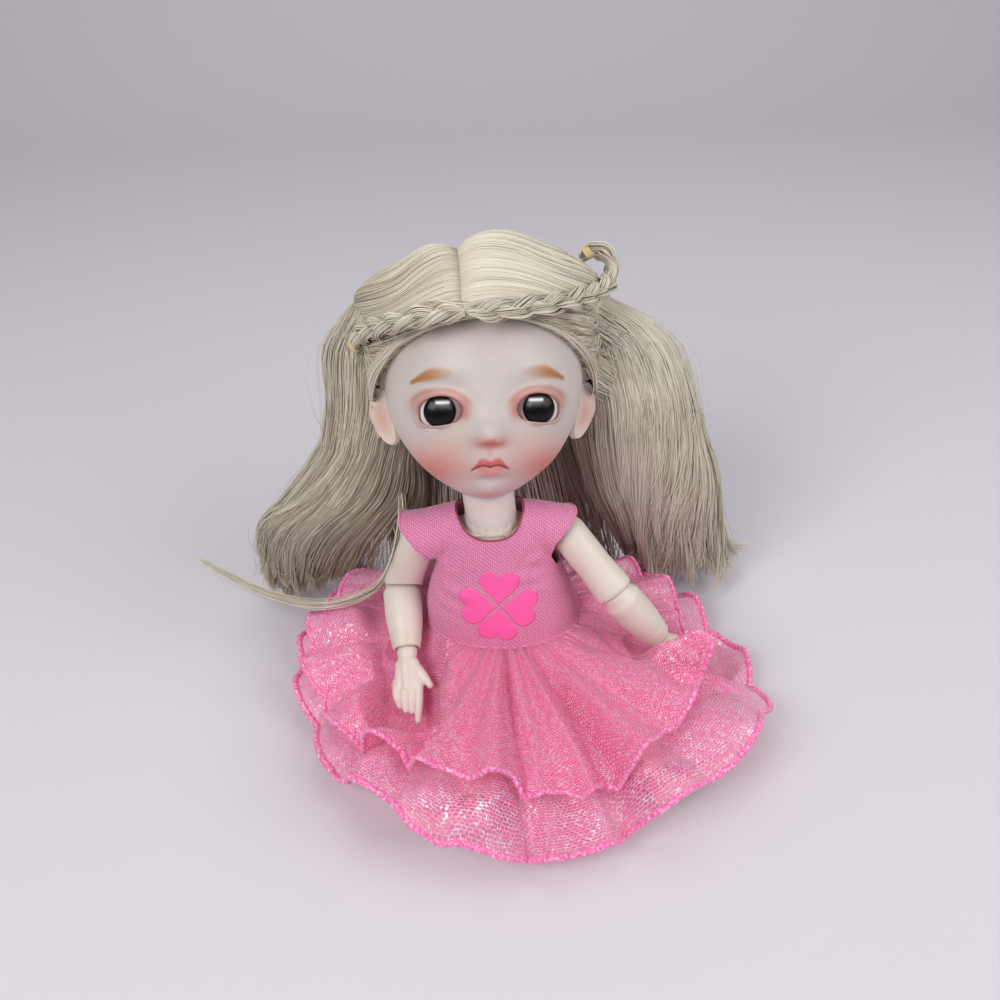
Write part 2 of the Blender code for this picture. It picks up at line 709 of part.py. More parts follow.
def make_leg(side):
    leg = LEG[side]
    way, hip, knee, ankle = leg["way"], leg["hip"], leg["knee"], leg["ankle"]
    profile = limb_profile(
        THIGH_LENGTH,
        HIP_BALL_RADIUS,
        THIGH_NECK_RADIUS,
        KNEE_RADIUS,
        THIGH_RADIUS,
        HIP_BALL_RADIUS * 0.9,
        JOINT_STEP,
    )
    piece = turned(f"thigh_{side}", profile, frame_of(hip, way), RESIN)
    apply_boolean(piece, socket(f"knee_socket_{side}", knee, KNEE_BALL_RADIUS + SOCKET_GAP))
    apply_boolean(piece, socket(f"hip_hollow_{side}", hip, CHANNEL_RADIUS, 10))
    bore(piece, f"thigh_bore_{side}", hip, knee, ELASTIC_BORE)
    mouth = hip + (LEG_CHANNEL_INNER - hip).normalized() * HIP_BALL_RADIUS * 1.2
    bore(piece, f"hip_mouth_{side}", hip, mouth, ELASTIC_BORE)
    bend_clearance(
        piece,
        f"knee_room_{side}",
        knee,
        way,
        leg["knee_axis"],
        steps_between(*KNEE_BEND),
        KNEE_RADIUS,
        JOINT_STEP,
        SHIN_LENGTH * 0.6,
        CALF_RADIUS / KNEE_RADIUS,
    )

    profile = limb_profile(
        SHIN_LENGTH,
        KNEE_BALL_RADIUS,
        KNEE_BALL_RADIUS * 0.97,
        ANKLE_RADIUS,
        CALF_RADIUS,
        JOINT_STEP,
        JOINT_STEP,
    )
    piece = turned(f"shin_{side}", profile, frame_of(knee, way), RESIN)
    apply_boolean(piece, socket(f"ankle_socket_{side}", ankle, ANKLE_BALL_RADIUS + SOCKET_GAP))
    mouth = knee - way * KNEE_BALL_RADIUS * 1.2
    bore(piece, f"shin_bore_{side}", mouth, ankle, HOOK_BORE)
    bend_clearance(
        piece,
        f"ankle_room_{side}",
        ankle,
        way,
        leg["foot_axis"],
        steps_between(-ANKLE_BEND, ANKLE_BEND),
        FOOT_WIDTH * 0.46,
        JOINT_STEP * 1.6,
        FOOT_HEIGHT,
    )
    make_foot(side)


def make_foot(side):
    """A small bare foot: rings from heel to toes, with the ankle's ball on top."""
    leg = LEG[side]
    ankle, way, toes = leg["ankle"], leg["way"], leg["toes"]
    across = leg["foot_axis"]
    shares = (
        (0.00, 0.40, 0.46),
        (0.06, 0.66, 0.66),
        (0.22, 0.74, 0.74),
        (0.42, 0.78, 0.62),
        (0.66, 0.96, 0.48),
        (0.86, 0.97, 0.38),
        (1.00, 0.58, 0.24),
    )
    top_level = JOINT_STEP * 1.8
    rings = []
    for along, wide, tall in shares:
        forward = (along - HEEL_SHARE) * FOOT_LENGTH
        height = (SOLE_DROP - top_level) * tall / 0.74
        middle = SOLE_DROP - height / 2
        ring = ellipse((0, 0, 0), FOOT_WIDTH / 2 * wide, height / 2, 10)
        rings.append([ankle + toes * forward + across * p.x + way * (middle + p.y) for p in ring])
    foot = lofted(f"foot_{side}", rings, RESIN)
    apply_boolean(foot, ball(f"ankle_ball_{side}", ankle, ANKLE_BALL_RADIUS, tool=True, detail=10), "UNION")
    slot_bores(foot, f"foot_slot_{side}", ankle, -way, leg["foot_axis"], ANKLE_BEND)


# Elastic and hooks


def make_elastic():
    arm_reach = SHOULDER_HALF - SHOULDER_BALL_RADIUS - GAP * 2
    middle = Vector((lean(SHOULDER_LEVEL), 0, SHOULDER_LEVEL))
    ends = [middle + Vector((sign * arm_reach, 0, 0)) for sign in (-1, 1)]
    rod("arm_elastic_chest", ends[0], ends[1], ELASTIC_RADIUS, ELASTIC)
    low = Vector((lean(CHANNEL_FLOOR), SEAT_CENTRE * 0.7, CHANNEL_FLOOR + GAP))
    high_level = SHOULDER_LEVEL - ELASTIC_RADIUS * 2 - GAP
    rod("leg_elastic_trunk", low, (lean(high_level), 0, high_level), ELASTIC_RADIUS, ELASTIC)
    for side in SIDES:
        arm, leg = ARM[side], LEG[side]
        for name, centre, way in (
            ("shoulder", arm["shoulder"], arm["ways"][0]),
            ("hip", leg["hip"], leg["way"]),
        ):
            reach = way * STRETCH_HALF
            rod(f"{name}_elastic_{side}", centre - reach, centre + reach, ELASTIC_RADIUS, ELASTIC)
        start = STRETCH_HALF + GAP
        joint = ELASTIC_RADIUS * ELBOW_START_SHARE
        elbow_gap = ELBOW_BALL_RADIUS + GAP * 4
        knee_gap = KNEE_BALL_RADIUS + GAP * 2
        hook_end = HOOK_LENGTH + GAP * 1.5
        for name, near, far, gap_near, gap_far in (
            ("upper_arm", arm["shoulder"], arm["elbow"], start, elbow_gap),
            ("forearm", arm["elbow"], arm["wrist"], joint, hook_end),
            ("thigh", leg["hip"], leg["knee"], start, knee_gap),
            ("shin", leg["knee"], leg["ankle"], joint, hook_end),
        ):
            way = (far - near).normalized()
            rod(
                f"{name}_elastic_{side}",
                near + way * gap_near,
                far - way * gap_far,
                ELASTIC_RADIUS,
                ELASTIC,
            )
        make_hook(f"hand_hook_{side}", arm["wrist"], -arm["ways"][1], arm["elbow_axis"])
        make_hook(f"foot_hook_{side}", leg["ankle"], -leg["way"], leg["foot_axis"])


def wire(name, points):
    """Bent wire: a curve with a bevel, made a mesh with welded caps."""
    curve = bpy.data.curves.new(name, "CURVE")
    curve.dimensions = "3D"
    curve.bevel_depth = WIRE_RADIUS
    curve.bevel_resolution = 1
    curve.use_fill_caps = True
    spline = curve.splines.new("POLY")
    spline.points.add(len(points) - 1)
    for slot, point in zip(spline.points, points):
        slot.co = (*point, 1)
    source = bpy.data.objects.new(name + "_route", curve)
    CUTTERS.objects.link(source)
    graph = bpy.context.evaluated_depsgraph_get()
    mesh = bpy.data.meshes.new_from_object(source.evaluated_get(graph))
    bpy.data.objects.remove(source, do_unlink=True)
    bm = bmesh.new()
    bm.from_mesh(mesh)
    bmesh.ops.remove_doubles(bm, verts=bm.verts, dist=MERGE)
    return from_bmesh(name, bm, WIRE)


def make_hook(name, pivot, back, across):
    """An S of wire: a bow round the joint's centre and a bow up the limb for the elastic."""
    across = (Vector(across) - Vector(across).dot(back) * back).normalized()
    bow = HOOK_RADIUS - WIRE_RADIUS * 0.6
    points = []
    for index in range(6):
        angle = math.radians(-150 + 210 * index / 5)
        points.append(pivot + across * bow * math.cos(angle) + back * bow * math.sin(angle))
    for index in range(5):
        angle = math.radians(-30 + 190 * index / 4)
        centre = pivot + back * (HOOK_LENGTH - bow - WIRE_RADIUS)
        points.append(centre + across * bow * math.cos(angle) + back * bow * math.sin(angle))
    return wire(name, points)


# Head


def head_skin(grow):
    """The head's skin as a ball reshaped: narrower towards the chin, fuller behind."""
    bm = bmesh.new()
    bmesh.ops.create_uvsphere(bm, u_segments=16, v_segments=10, radius=1)
    for vert in bm.verts:
        u = vert.co.copy()
        down = max(0.0, -u.z)
        taper = 1 - 0.20 * down**3
        depth = HEAD_FRONT if u.y < 0 else HEAD_BACK
        height = HEAD_TOP if u.z > 0 else HEAD_BOTTOM
        chin = -HEAD_FRONT * 0.12 * down**3 if u.y <= 0 else 0.0
        vert.co = (
            u.x * (HEAD_HALF_WIDTH + grow) * taper,
            u.y * (depth + grow) * (1 - 0.10 * down**2) + chin * (1 - abs(u.x)),
            u.z * (height + grow),
        )
    return bm


def skin_tool(name, grow, finish=None, tool=True):
    obj = from_bmesh(name, head_skin(grow), finish, tool)
    obj.matrix_world = HEAD_PLACE
    return obj


def head_box(name, level, slope, above, front=None):
    """A cutter that takes all above or below a plane sloping down to the back of the head."""
    size = HEAD_BACK * 3
    low = (-size, -size, 0) if above else (-size, -size, -size)
    high = (size, size, size) if above else (size, size, 0)
    pivot = Vector((0, front or 0.0, level))
    return box(name, low, high, HEAD_PLACE @ Matrix.Translation(pivot) @ Matrix.Rotation(-slope, 4, "X"))


def eye_centre(side):
    return HEAD_PLACE @ Vector((SIGN[side] * EYE_HALF_SPACING, EYE_DEPTH, EYE_LEVEL))


def hollow_head(name, finish):
    head = skin_tool(name, 0.0, finish, tool=False)
    hollow = skin_tool(f"{name}_hollow", -HEAD_WALL)
    cup_radius = NECK_BALL_RADIUS + SOCKET_GAP + CUP_WALL
    apply_boolean(hollow, ball(f"{name}_cup", NECK_PIVOT, cup_radius, tool=True))
    apply_boolean(head, hollow)
    return head


def ear_shape(side, grow):
    """An ear as a flat egg at the side of the head, or the room round it where it grows."""
    place = Vector((SIGN[side] * HEAD_HALF_WIDTH, EAR_DEPTH, EAR_LEVEL))
    tall = EAR_HEIGHT + grow * 2
    scale = ((EAR_THICKNESS + grow * 2) / tall, (EAR_WIDTH + grow * 2) / tall, 1)
    centre = HEAD_PLACE @ place
    name = f"ear_{side}" if grow == 0 else f"ear_room_{side}"
    return ball(name, centre, tall / 2, tool=True, scale=scale, turn=HEAD_TURN, detail=12)


def make_head():
    shell = hollow_head("head_shell", RESIN)
    for side in SIDES:
        apply_boolean(shell, ear_shape(side, 0.0), "UNION")
    apply_boolean(shell, head_box("cap_parting_above", CAP_LEVEL, CAP_SLOPE, True))
    apply_boolean(shell, socket("neck_socket", NECK_PIVOT, NECK_BALL_RADIUS + SOCKET_GAP))
    nods = steps_between(-NECK_NOD[1], -NECK_NOD[0], 14)
    down = swung((0, 0, -1), (1, 0, 0), nods)
    room = NECK_RADIUS + GAP * 2
    fan(shell, "neck_room", NECK_PIVOT, down, ((NECK_BALL_RADIUS * 0.2, room), (HEAD_BOTTOM, room)))
    up = [-way for way in down]
    high = NECK_BALL_RADIUS + CUP_WALL * 2.5
    room = WIRE_RADIUS + GAP * 2
    fan(shell, "hook_slot", NECK_PIVOT, up, ((NECK_BALL_RADIUS * 0.5, room), (high, room)), 6)
    for side in SIDES:
        centre = eye_centre(side)
        apply_boolean(shell, socket(f"eye_seat_{side}", centre, EYE_RADIUS + GAP))
        ahead = Vector((SIGN[side] * EYE_HALF_SPACING, EYE_DEPTH - EYE_RADIUS * 1.6, EYE_LEVEL))
        opening = ball(
            f"eye_opening_{side}",
            HEAD_PLACE @ ahead,
            EYE_OPENING_WIDTH / 2,
            tool=True,
            scale=(1, EYE_RADIUS * 2.2 / EYE_OPENING_WIDTH, EYE_OPENING_HEIGHT / EYE_OPENING_WIDTH),
            turn=HEAD_TURN,
        )
        apply_boolean(shell, opening)
        ball(f"eye_{side}", centre, EYE_RADIUS, GLASS)
        make_putty(side)
    cap = hollow_head("head_cap", RESIN)
    apply_boolean(cap, head_box("cap_parting_below", CAP_LEVEL + GAP, CAP_SLOPE, False))
    make_magnets(shell, cap)


def make_putty(side):
    ring = EYE_RADIUS * 0.80
    offset = math.sqrt((EYE_RADIUS + PUTTY_RADIUS + GAP * 1.4) ** 2 - ring**2)
    profile = arc_ring(ring, PUTTY_RADIUS)
    place = HEAD_PLACE @ Matrix.Translation(
        (SIGN[side] * EYE_HALF_SPACING, EYE_DEPTH + offset, EYE_LEVEL)
    )
    place = place @ Matrix.Rotation(math.radians(90), 4, "X")
    bm = bmesh.new()
    count = 16
    rows = []
    for index in range(count):
        angle = math.tau * index / count
        rows.append(
            [bm.verts.new((r * math.cos(angle), r * math.sin(angle), z)) for r, z in profile]
        )
    for row, following in zip(rows, rows[1:] + rows[:1]):
        for i in range(len(profile)):
            j = (i + 1) % len(profile)
            bm.faces.new((row[i], following[i], following[j], row[j]))
    obj = from_bmesh(f"eye_putty_{side}", bm, PUTTY)
    obj.matrix_world = place


def arc_ring(ring, radius):
    angles = [math.tau * i / 6 for i in range(6)]
    return [(ring + radius * math.cos(a), radius * math.sin(a)) for a in angles]


def make_magnets(shell, cap):
    """A magnet in the shell's rim and one in the cap's rim face each other at the back."""
    back = HEAD_BACK - HEAD_WALL * 0.62
    parting = HEAD_PLACE @ Matrix.Translation((0, 0, CAP_LEVEL)) @ Matrix.Rotation(-CAP_SLOPE, 4, "X")
    share = math.sqrt(1 - ((CAP_LEVEL - back * math.sin(CAP_SLOPE) * 0.5) / HEAD_TOP) ** 2)
    middle = back * share / math.cos(CAP_SLOPE) * 0.985
    for name, owner, sign in (("shell_magnet", shell, -1), ("cap_magnet", cap, 1)):
        rim = 0.0 if owner is shell else GAP
        near = parting @ Vector((0, middle, rim + sign * GAP))
        far = parting @ Vector((0, middle, rim + sign * (GAP + MAGNET_THICKNESS)))
        rod(name, near, far, MAGNET_RADIUS, WIRE, segments=10, round_ends=False)
        open_end = parting @ Vector((0, middle, -sign * GAP * 2))
        deep = parting @ Vector((0, middle, rim + sign * (GAP * 2 + MAGNET_THICKNESS)))
        bore(owner, f"{name}_pocket", open_end, deep, MAGNET_RADIUS + GAP)


def make_neck_hook():
    """A straight hook through the ball and the head's cup, with a bar across above the cup."""
    cup_top = NECK_BALL_RADIUS + SOCKET_GAP + CUP_WALL
    level = cup_top + WIRE_RADIUS + GAP
    low = NECK_PIVOT - Vector((0, 0, NECK_PIVOT_LEVEL - SHOULDER_LEVEL - ELASTIC_RADIUS * 2 - GAP))
    top = NECK_PIVOT + Vector((0, 0, level))
    hook = rod("neck_hook", low, top, WIRE_RADIUS, WIRE, segments=8)
    half = Vector((HOOK_RADIUS * 1.7, 0, 0))
    bar = rod("neck_hook_bar", top - half, top + half, WIRE_RADIUS, tool=True, segments=8)
    apply_boolean(hook, bar, "UNION")


# Wig


def make_wig():
    cap = skin_tool("wig_cap", GAP + WIG_CAP_WALL, WIG, tool=False)
    apply_boolean(cap, skin_tool("wig_cap_hollow", GAP))
    edge = head_box("wig_cap_edge", HAIRLINE_LEVEL, HAIRLINE_SLOPE, False, -HEAD_FRONT * 0.9)
    apply_boolean(cap, edge)
    crown = skin_tool("hair_crown", GAP * 2 + WIG_CAP_WALL + HAIR_THICKNESS, HAIR, tool=False)
    apply_boolean(crown, skin_tool("hair_crown_hollow", GAP * 2 + WIG_CAP_WALL))
    edge = head_box("hair_crown_edge", HAIRLINE_LEVEL + GAP, HAIRLINE_SLOPE, False, -HEAD_FRONT * 0.9)
    apply_boolean(crown, edge)
    for side in SIDES:
        room = ear_shape(side, EAR_ROOM)
        apply_boolean(cap, room)
        apply_boolean(crown, room)


def seat_on_hair(piece):
    """Hollows a lock so that it lies on the combed hair over the crown."""
    grow = GAP * 3 + WIG_CAP_WALL + HAIR_THICKNESS
    apply_boolean(piece, skin_tool(f"{piece.name}_seat", grow))


def hair_lock(name, path, count=12):
    """A lock as a loft: each stop is (x, y, z, half width, half thickness, turn about Z)."""
    rings = []
    for x, y, z, wide, thick, turn in path:
        spin = Matrix.Rotation(math.radians(turn), 3, "Z")
        ring = ellipse((0, 0, 0), wide, thick, count)
        rings.append([Vector((x, y, z)) + spin @ p for p in ring])
    return lofted(name, rings, HAIR)


def make_hair():
    """The loose hair: beside the head, and the long falls that hang from there to the floor."""
    for side in SIDES:
        sign = SIGN[side]
        for name, shares in (("hair_side", SIDE_HAIR_SHARES), ("hair_fall", FALL_HAIR_SHARES)):
            path = []
            for out, back, height, wide, thick in shares[side]:
                level = height * HAIR_TOP_LEVEL
                x = lean(min(level, NECK_PIVOT_LEVEL))
                path.append(
                    (
                        x + sign * out * HAIR_REACH,
                        back * HAIR_BACK,
                        level,
                        wide * HAIR_WIDTH,
                        thick * HAIR_DEPTH,
                        sign * HAIR_TURN,
                    )
                )
            lock = hair_lock(f"{name}_{side}", path)
            if name == "hair_side":
                seat_on_hair(lock)
    path = [
        (lean(h * HAIR_TOP_LEVEL), b * HAIR_BACK, h * HAIR_TOP_LEVEL, w * HAIR_WIDTH, t * HAIR_DEPTH, 0)
        for _, b, h, w, t in BACK_HAIR_SHARES
    ]
    seat_on_hair(hair_lock("hair_fall_back", path, 16))


def braid_route(side):
    """From the parting along the hairline to beside the head, in the head's upright frame."""
    skin = GAP * 2 + WIG_CAP_WALL + HAIR_THICKNESS + BRAID_RADIUS * 0.6
    points = []
    for index in range(BRAID_STOPS):
        share = index / (BRAID_STOPS - 1)
        turn = math.radians(BRAID_START + (BRAID_END - BRAID_START) * share)
        rise = BRAID_LEVEL + BRAID_RISE[side] * share
        level = math.sqrt(1 - rise**2)
        u = Vector((SIGN[side] * math.sin(turn) * level, -math.cos(turn) * level, rise))
        spread = 1 + BRAID_SPREAD * max(0.0, share - 0.55)
        points.append(
            HEAD_PLACE
            @ Vector(
                (
                    u.x * (HEAD_HALF_WIDTH + skin) * spread,
                    u.y * ((HEAD_FRONT if u.y < 0 else HEAD_BACK) + skin),
                    u.z * (HEAD_TOP + skin),
                )
            )
        )
    return points


def make_braids():
    """Each plait as a rope of bulges, with a small band round it near its loose end."""
    for side in SIDES:
        route = braid_route(side)
        rings = []
        for index, point in enumerate(route):
            before, after = route[max(0, index - 1)], route[min(len(route) - 1, index + 1)]
            place = frame_of(point, after - before, (0, 1, 0.2))
            end = index in (0, len(route) - 1)
            radius = BRAID_RADIUS * (0.55 if end else 1.0 if index % 2 else 0.82)
            rings.append([place @ p for p in ellipse((0, 0, 0), radius, radius * 0.8, 8)])
        braid = lofted(f"braid_{side}", rings, HAIR)
        seat_on_hair(braid)
        low, high = route[-2], route[-1]
        way = (high - low).normalized()
        place = frame_of(low + (high - low) * 0.55, way)
        inner, outer, half = TIE_RADIUS * 0.84, TIE_RADIUS * 1.1, TIE_WIDTH / 2
        neck = turned(
            f"braid_waist_{side}",
            [(inner * 1.6, half * 1.4), (inner * 1.6, -half * 1.4), (inner - GAP, -half * 1.4)]
            + [(inner - GAP, half * 1.4), (inner * 1.6, half * 1.4)],
            place,
            tool=True,
            segments=12,
        )
        apply_boolean(braid, neck)
        turned(
            f"braid_tie_{side}",
            [(inner, half), (outer, half * 0.8), (outer, -half * 0.8), (inner, -half), (inner, half)],
            place,
            BAND,
            segments=12,
        )


# Dress


def bodice_ring(share):
    """Height, half width and half depth of the bodice at a share of its height."""
    for (low, w0, d0), (high, w1, d1) in zip(BODICE_SHARES, BODICE_SHARES[1:]):
        if share <= high:
            part = (share - low) / (high - low)
            wide, deep = w0 + (w1 - w0) * part, d0 + (d1 - d0) * part
            break
    height = BODICE_HEM_LEVEL + share * (COLLAR_LEVEL - BODICE_HEM_LEVEL)
    return height, BODICE_WIDTH / 2 * wide, BODICE_DEPTH / 2 * deep


def make_bodice():
    rings = []
    for share, _, _ in BODICE_SHARES:
        height, wide, deep = bodice_ring(share)
        rings.append(ellipse((lean(height), 0, height), wide, deep, 24))
    bodice = lofted("bodice", rings, KNIT, closed_ends=False)
    thicken(bodice, JERSEY)
    for side in SIDES:
        arm = ARM[side]
        centre = arm["shoulder"]
        room = SHOULDER_BALL_RADIUS + SLEEVE_FLARE + JERSEY + GAP * 3
        end = centre + arm["ways"][0] * (SLEEVE_LENGTH + room)
        start = centre - arm["ways"][0] * GAP
        hole = rod(
            f"armhole_{side}",
            start,
            end,
            room + SLEEVE_FLARE,
            tool=True,
            segments=14,
            round_ends=False,
        )
        apply_boolean(bodice, hole)
        apply_boolean(bodice, ball(f"armhole_round_{side}", centre, room, tool=True))
        make_sleeve(side, room)


def make_sleeve(side, room):
    """A short cap: a dome round the shoulder that opens down the arm."""
    arm = ARM[side]
    radius = room - GAP
    flare = radius + SLEEVE_FLARE
    profile = [(flare, SLEEVE_LENGTH), (radius, SHOULDER_BALL_RADIUS * 0.12)]
    profile += arc(radius, 0.0, 0, -90, 5)[1:]
    sleeve = turned(
        f"sleeve_{side}", profile, frame_of(arm["shoulder"], arm["ways"][0]), KNIT, segments=18
    )
    thicken(sleeve, JERSEY)
    edge = lean(SHOULDER_LEVEL) + SIGN[side] * (SHOULDER_HALF * 0.835)
    far = edge - SIGN[side] * BODICE_WIDTH
    size = BODICE_WIDTH
    inside = box(
        f"sleeve_inside_{side}",
        (min(edge, far), -size, 0),
        (max(edge, far), size, COLLAR_LEVEL * 2),
    )
    apply_boolean(sleeve, inside)


def on_bodice(x, height, out):
    """The point in front of the bodice at a place seen from the front, out from its skin."""
    share = (height - BODICE_HEM_LEVEL) / (COLLAR_LEVEL - BODICE_HEM_LEVEL)
    _, wide, deep = bodice_ring(share)
    depth = math.sqrt(max(0.0, 1 - (x / wide) ** 2))
    return Vector((lean(height) + x, -(deep * depth) - out, height))


def make_clover():
    """Four heart-shaped leaves as one thin patch that follows the front of the bodice."""
    reach = CLOVER_LOBE_RADIUS * 2.4
    rings = []
    count = 32
    for ring in range(1, 5):
        row = []
        for index in range(count):
            angle = math.tau * index / count
            lobe = abs(math.sin(2 * (angle - math.radians(CLOVER_TURN)))) ** 0.6
            notch = 1 - 0.16 * max(0.0, lobe - 0.86) / 0.14
            radius = reach * ring / 4 * (0.42 + 0.58 * lobe) * notch
            row.append(
                on_bodice(
                    CLOVER_SIDEWAYS + radius * math.cos(angle),
                    CLOVER_LEVEL + radius * math.sin(angle),
                    CLOVER_THICKNESS + GAP,
                )
            )
        rings.append(row)
    bm = bmesh.new()
    centre = bm.verts.new(on_bodice(CLOVER_SIDEWAYS, CLOVER_LEVEL, CLOVER_THICKNESS + GAP))
    rows = [[bm.verts.new(p) for p in ring] for ring in rings]
    for i in range(count):
        j = (i + 1) % count
        bm.faces.new((centre, rows[0][i], rows[0][j]))
        for low, high in zip(rows, rows[1:]):
            bm.faces.new((low[i], high[i], high[j], low[j]))
    clover = from_bmesh("clover_print", bm, PRINT)
    thicken(clover, CLOVER_THICKNESS, 0)


def make_snap():
    share = 0.45
    height, _, deep = bodice_ring(share)
    start = Vector((lean(height), deep + GAP * 2, height))
    end = start + Vector((0, SNAP_THICKNESS, 0))
    rod("back_snap", start, end, SNAP_RADIUS, WIRE, segments=12, round_ends=False)


# Skirt


def hem_radius(azimuth):
    """How far the lower layer reaches at an azimuth in degrees; -90 is in front."""
    side = SKIRT_LEFT if -90 <= azimuth <= 90 else SKIRT_RIGHT
    angle = math.radians(azimuth)
    if math.sin(angle) <= 0:
        front = abs(math.sin(angle)) ** 1.4
        return side + (SKIRT_FRONT - side) * front
    return SKIRT_BACK + (side - SKIRT_BACK) * abs(math.cos(angle)) ** SKIRT_NARROWING


def along_segment(point, start, end):
    """The nearest share along a segment as seen from above, and the distance from it."""
    run = (end - start).xy
    share = max(0.0, min(1.0, (point.xy - start.xy).dot(run) / run.length_squared))
    return share, (point.xy - start.xy - run * share).length


def skirt_height(point, share):
    """The middle of the lower layer at a place: sloping out, over the legs, under the hands."""
    top = SKIRT_TOP_LEVEL - LAYER_SPACING
    low = HEM_HEIGHT
    height = top + (low - top) * share + SKIRT_PUFF * math.sin(math.pi * share)
    for side in SIDES:
        leg = LEG[side]
        toes = leg["ankle"] + leg["toes"] * FOOT_LENGTH * (1 - HEEL_SHARE)
        for start, end, radius in (
            (leg["hip"], leg["ankle"], THIGH_RADIUS),
            (leg["ankle"], toes, FOOT_WIDTH / 2),
        ):
            part, distance = along_segment(point, start, end)
            crest = start.z + (end.z - start.z) * part + radius + DRAPE_GAP + TULLE / 2
            past = max(0.0, distance - radius * CREST_SHARE) / DRAPE_WIDTH
            height = max(height, crest * (0.5 + 0.5 * math.cos(math.pi * min(1.0, past))))
    for side in SIDES:
        arm = ARM[side]
        for start, end, radius in (
            (arm["elbow"], arm["wrist"], FOREARM_RADIUS),
            (arm["wrist"], arm["tip"], PALM_WIDTH * 0.45),
        ):
            part, distance = along_segment(point, start, end)
            under = start.z + (end.z - start.z) * part - radius - DRAPE_GAP
            under -= LAYER_SPACING + TULLE
            spare = max(0.0, distance - radius) / DIP_WIDTH
            height = min(height, max(under, FLOOR_CLEARANCE) + spare**2 * DIP_RISE)
    height = max(height, FLOOR_CLEARANCE + TULLE / 2)
    for side in SIDES:
        leg = LEG[side]
        for start, end, radius in (
            (leg["hip"], leg["ankle"], THIGH_RADIUS),
            (leg["ankle"], leg["ankle"] + leg["toes"] * FOOT_LENGTH * (1 - HEEL_SHARE), FOOT_WIDTH / 2),
        ):
            part, distance = along_segment(point, start, end)
            room = radius + DRAPE_GAP + TULLE / 2
            if distance < room:
                middle = start.z + (end.z - start.z) * part
                height = max(height, middle + math.sqrt(room**2 - distance**2))
    ease = min(1.0, share * WAIST_EASE)
    return height * ease + top * (1 - ease)


def make_skirt():
    """Two gathered layers, each as a left and a right half that meet in front and behind."""
    steps = FOLDS_HALF * 4
    edge = math.degrees(math.asin(GAP / WAIST_HALF_DEPTH))
    for layer, layer_name in enumerate(("upper", "lower")):
        for side in SIDES:
            middle = 0 if side == "left" else 180
            bm = bmesh.new()
            rows = []
            for index in range(steps + 1):
                azimuth = middle - 90 + edge + (180 - 2 * edge) * index / steps
                angle = math.radians(azimuth)
                wrapped = azimuth if azimuth <= 180 else azimuth - 360
                full = hem_radius(wrapped)
                start = 1 / math.hypot(
                    math.cos(angle) / WAIST_HALF_WIDTH, math.sin(angle) / WAIST_HALF_DEPTH
                )
                full = max(full, start * 1.4)
                row = []
                for share in SKIRT_ROW_SHARES[: len(SKIRT_ROW_SHARES) - 1 + layer]:
                    radius = start + (full - start) * share
                    spot = Vector((radius * math.cos(angle), radius * math.sin(angle), 0))
                    fold = FOLD_HEIGHT * share * (1 + math.cos(math.tau * index / 4)) / 2
                    spot.z = skirt_height(spot, share) + fold + (1 - layer) * LAYER_SPACING
                    spot.x += lean(BODICE_HEM_LEVEL) * (1 - share)
                    row.append(bm.verts.new(spot))
                rows.append(row)
            for one, two in zip(rows, rows[1:]):
                for i in range(len(one) - 1):
                    bm.faces.new((one[i], one[i + 1], two[i + 1], two[i]))
            half = from_bmesh(f"skirt_{layer_name}_{side}", bm, MESH)
            thicken(half, TULLE, 0)


make_torso()
for side in SIDES:
    make_arm(side)
    make_leg(side)
make_elastic()
make_head()
make_neck_hook()
make_wig()
make_braids()
make_hair()
make_bodice()
make_clover()
make_snap()
make_skirt()
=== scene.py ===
# Looks for the seated ball jointed doll: skin, face, eyes, combed hair with two plaits, jersey
# bodice with a clover print, and the two-layer glitter net skirt. Metres, +Z up; the doll faces -Y.

import json
import math
from contextlib import contextmanager

import bmesh
import bpy
import numpy as np
from mathutils import Matrix, Vector
from mathutils.bvhtree import BVHTree


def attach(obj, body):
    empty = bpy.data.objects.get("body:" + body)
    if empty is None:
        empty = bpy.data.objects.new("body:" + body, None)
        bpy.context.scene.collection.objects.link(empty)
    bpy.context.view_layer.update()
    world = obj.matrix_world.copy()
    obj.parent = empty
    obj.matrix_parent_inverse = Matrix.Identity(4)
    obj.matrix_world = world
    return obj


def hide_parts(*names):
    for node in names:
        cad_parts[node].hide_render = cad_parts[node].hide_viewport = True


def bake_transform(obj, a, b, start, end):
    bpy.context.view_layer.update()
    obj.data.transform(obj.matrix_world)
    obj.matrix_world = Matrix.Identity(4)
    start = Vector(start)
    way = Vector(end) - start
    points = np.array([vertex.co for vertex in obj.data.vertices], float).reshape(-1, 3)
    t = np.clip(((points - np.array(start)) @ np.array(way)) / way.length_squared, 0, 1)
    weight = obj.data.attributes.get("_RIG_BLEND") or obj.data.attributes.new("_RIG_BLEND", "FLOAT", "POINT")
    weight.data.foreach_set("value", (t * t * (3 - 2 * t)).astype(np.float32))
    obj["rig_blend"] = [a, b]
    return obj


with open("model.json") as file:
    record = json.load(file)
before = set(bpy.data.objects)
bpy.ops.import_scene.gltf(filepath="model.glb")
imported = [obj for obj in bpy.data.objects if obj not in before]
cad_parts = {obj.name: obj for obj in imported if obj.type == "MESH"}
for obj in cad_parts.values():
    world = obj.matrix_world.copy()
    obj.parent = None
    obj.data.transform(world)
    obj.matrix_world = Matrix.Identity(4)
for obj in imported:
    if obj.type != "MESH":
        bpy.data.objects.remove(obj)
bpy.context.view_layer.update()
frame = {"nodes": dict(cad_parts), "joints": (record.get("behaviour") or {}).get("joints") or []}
JOINTS = {joint["name"]: joint for joint in frame["joints"]}
MM = 0.001
SIDES = ("right", "left")
SIGN = {"right": -1, "left": 1}


def both(joint):
    """Where a joint of each side sits."""
    return {s: Vector(JOINTS[f"{joint}_{s}"]["pos_m"]) for s in SIDES}


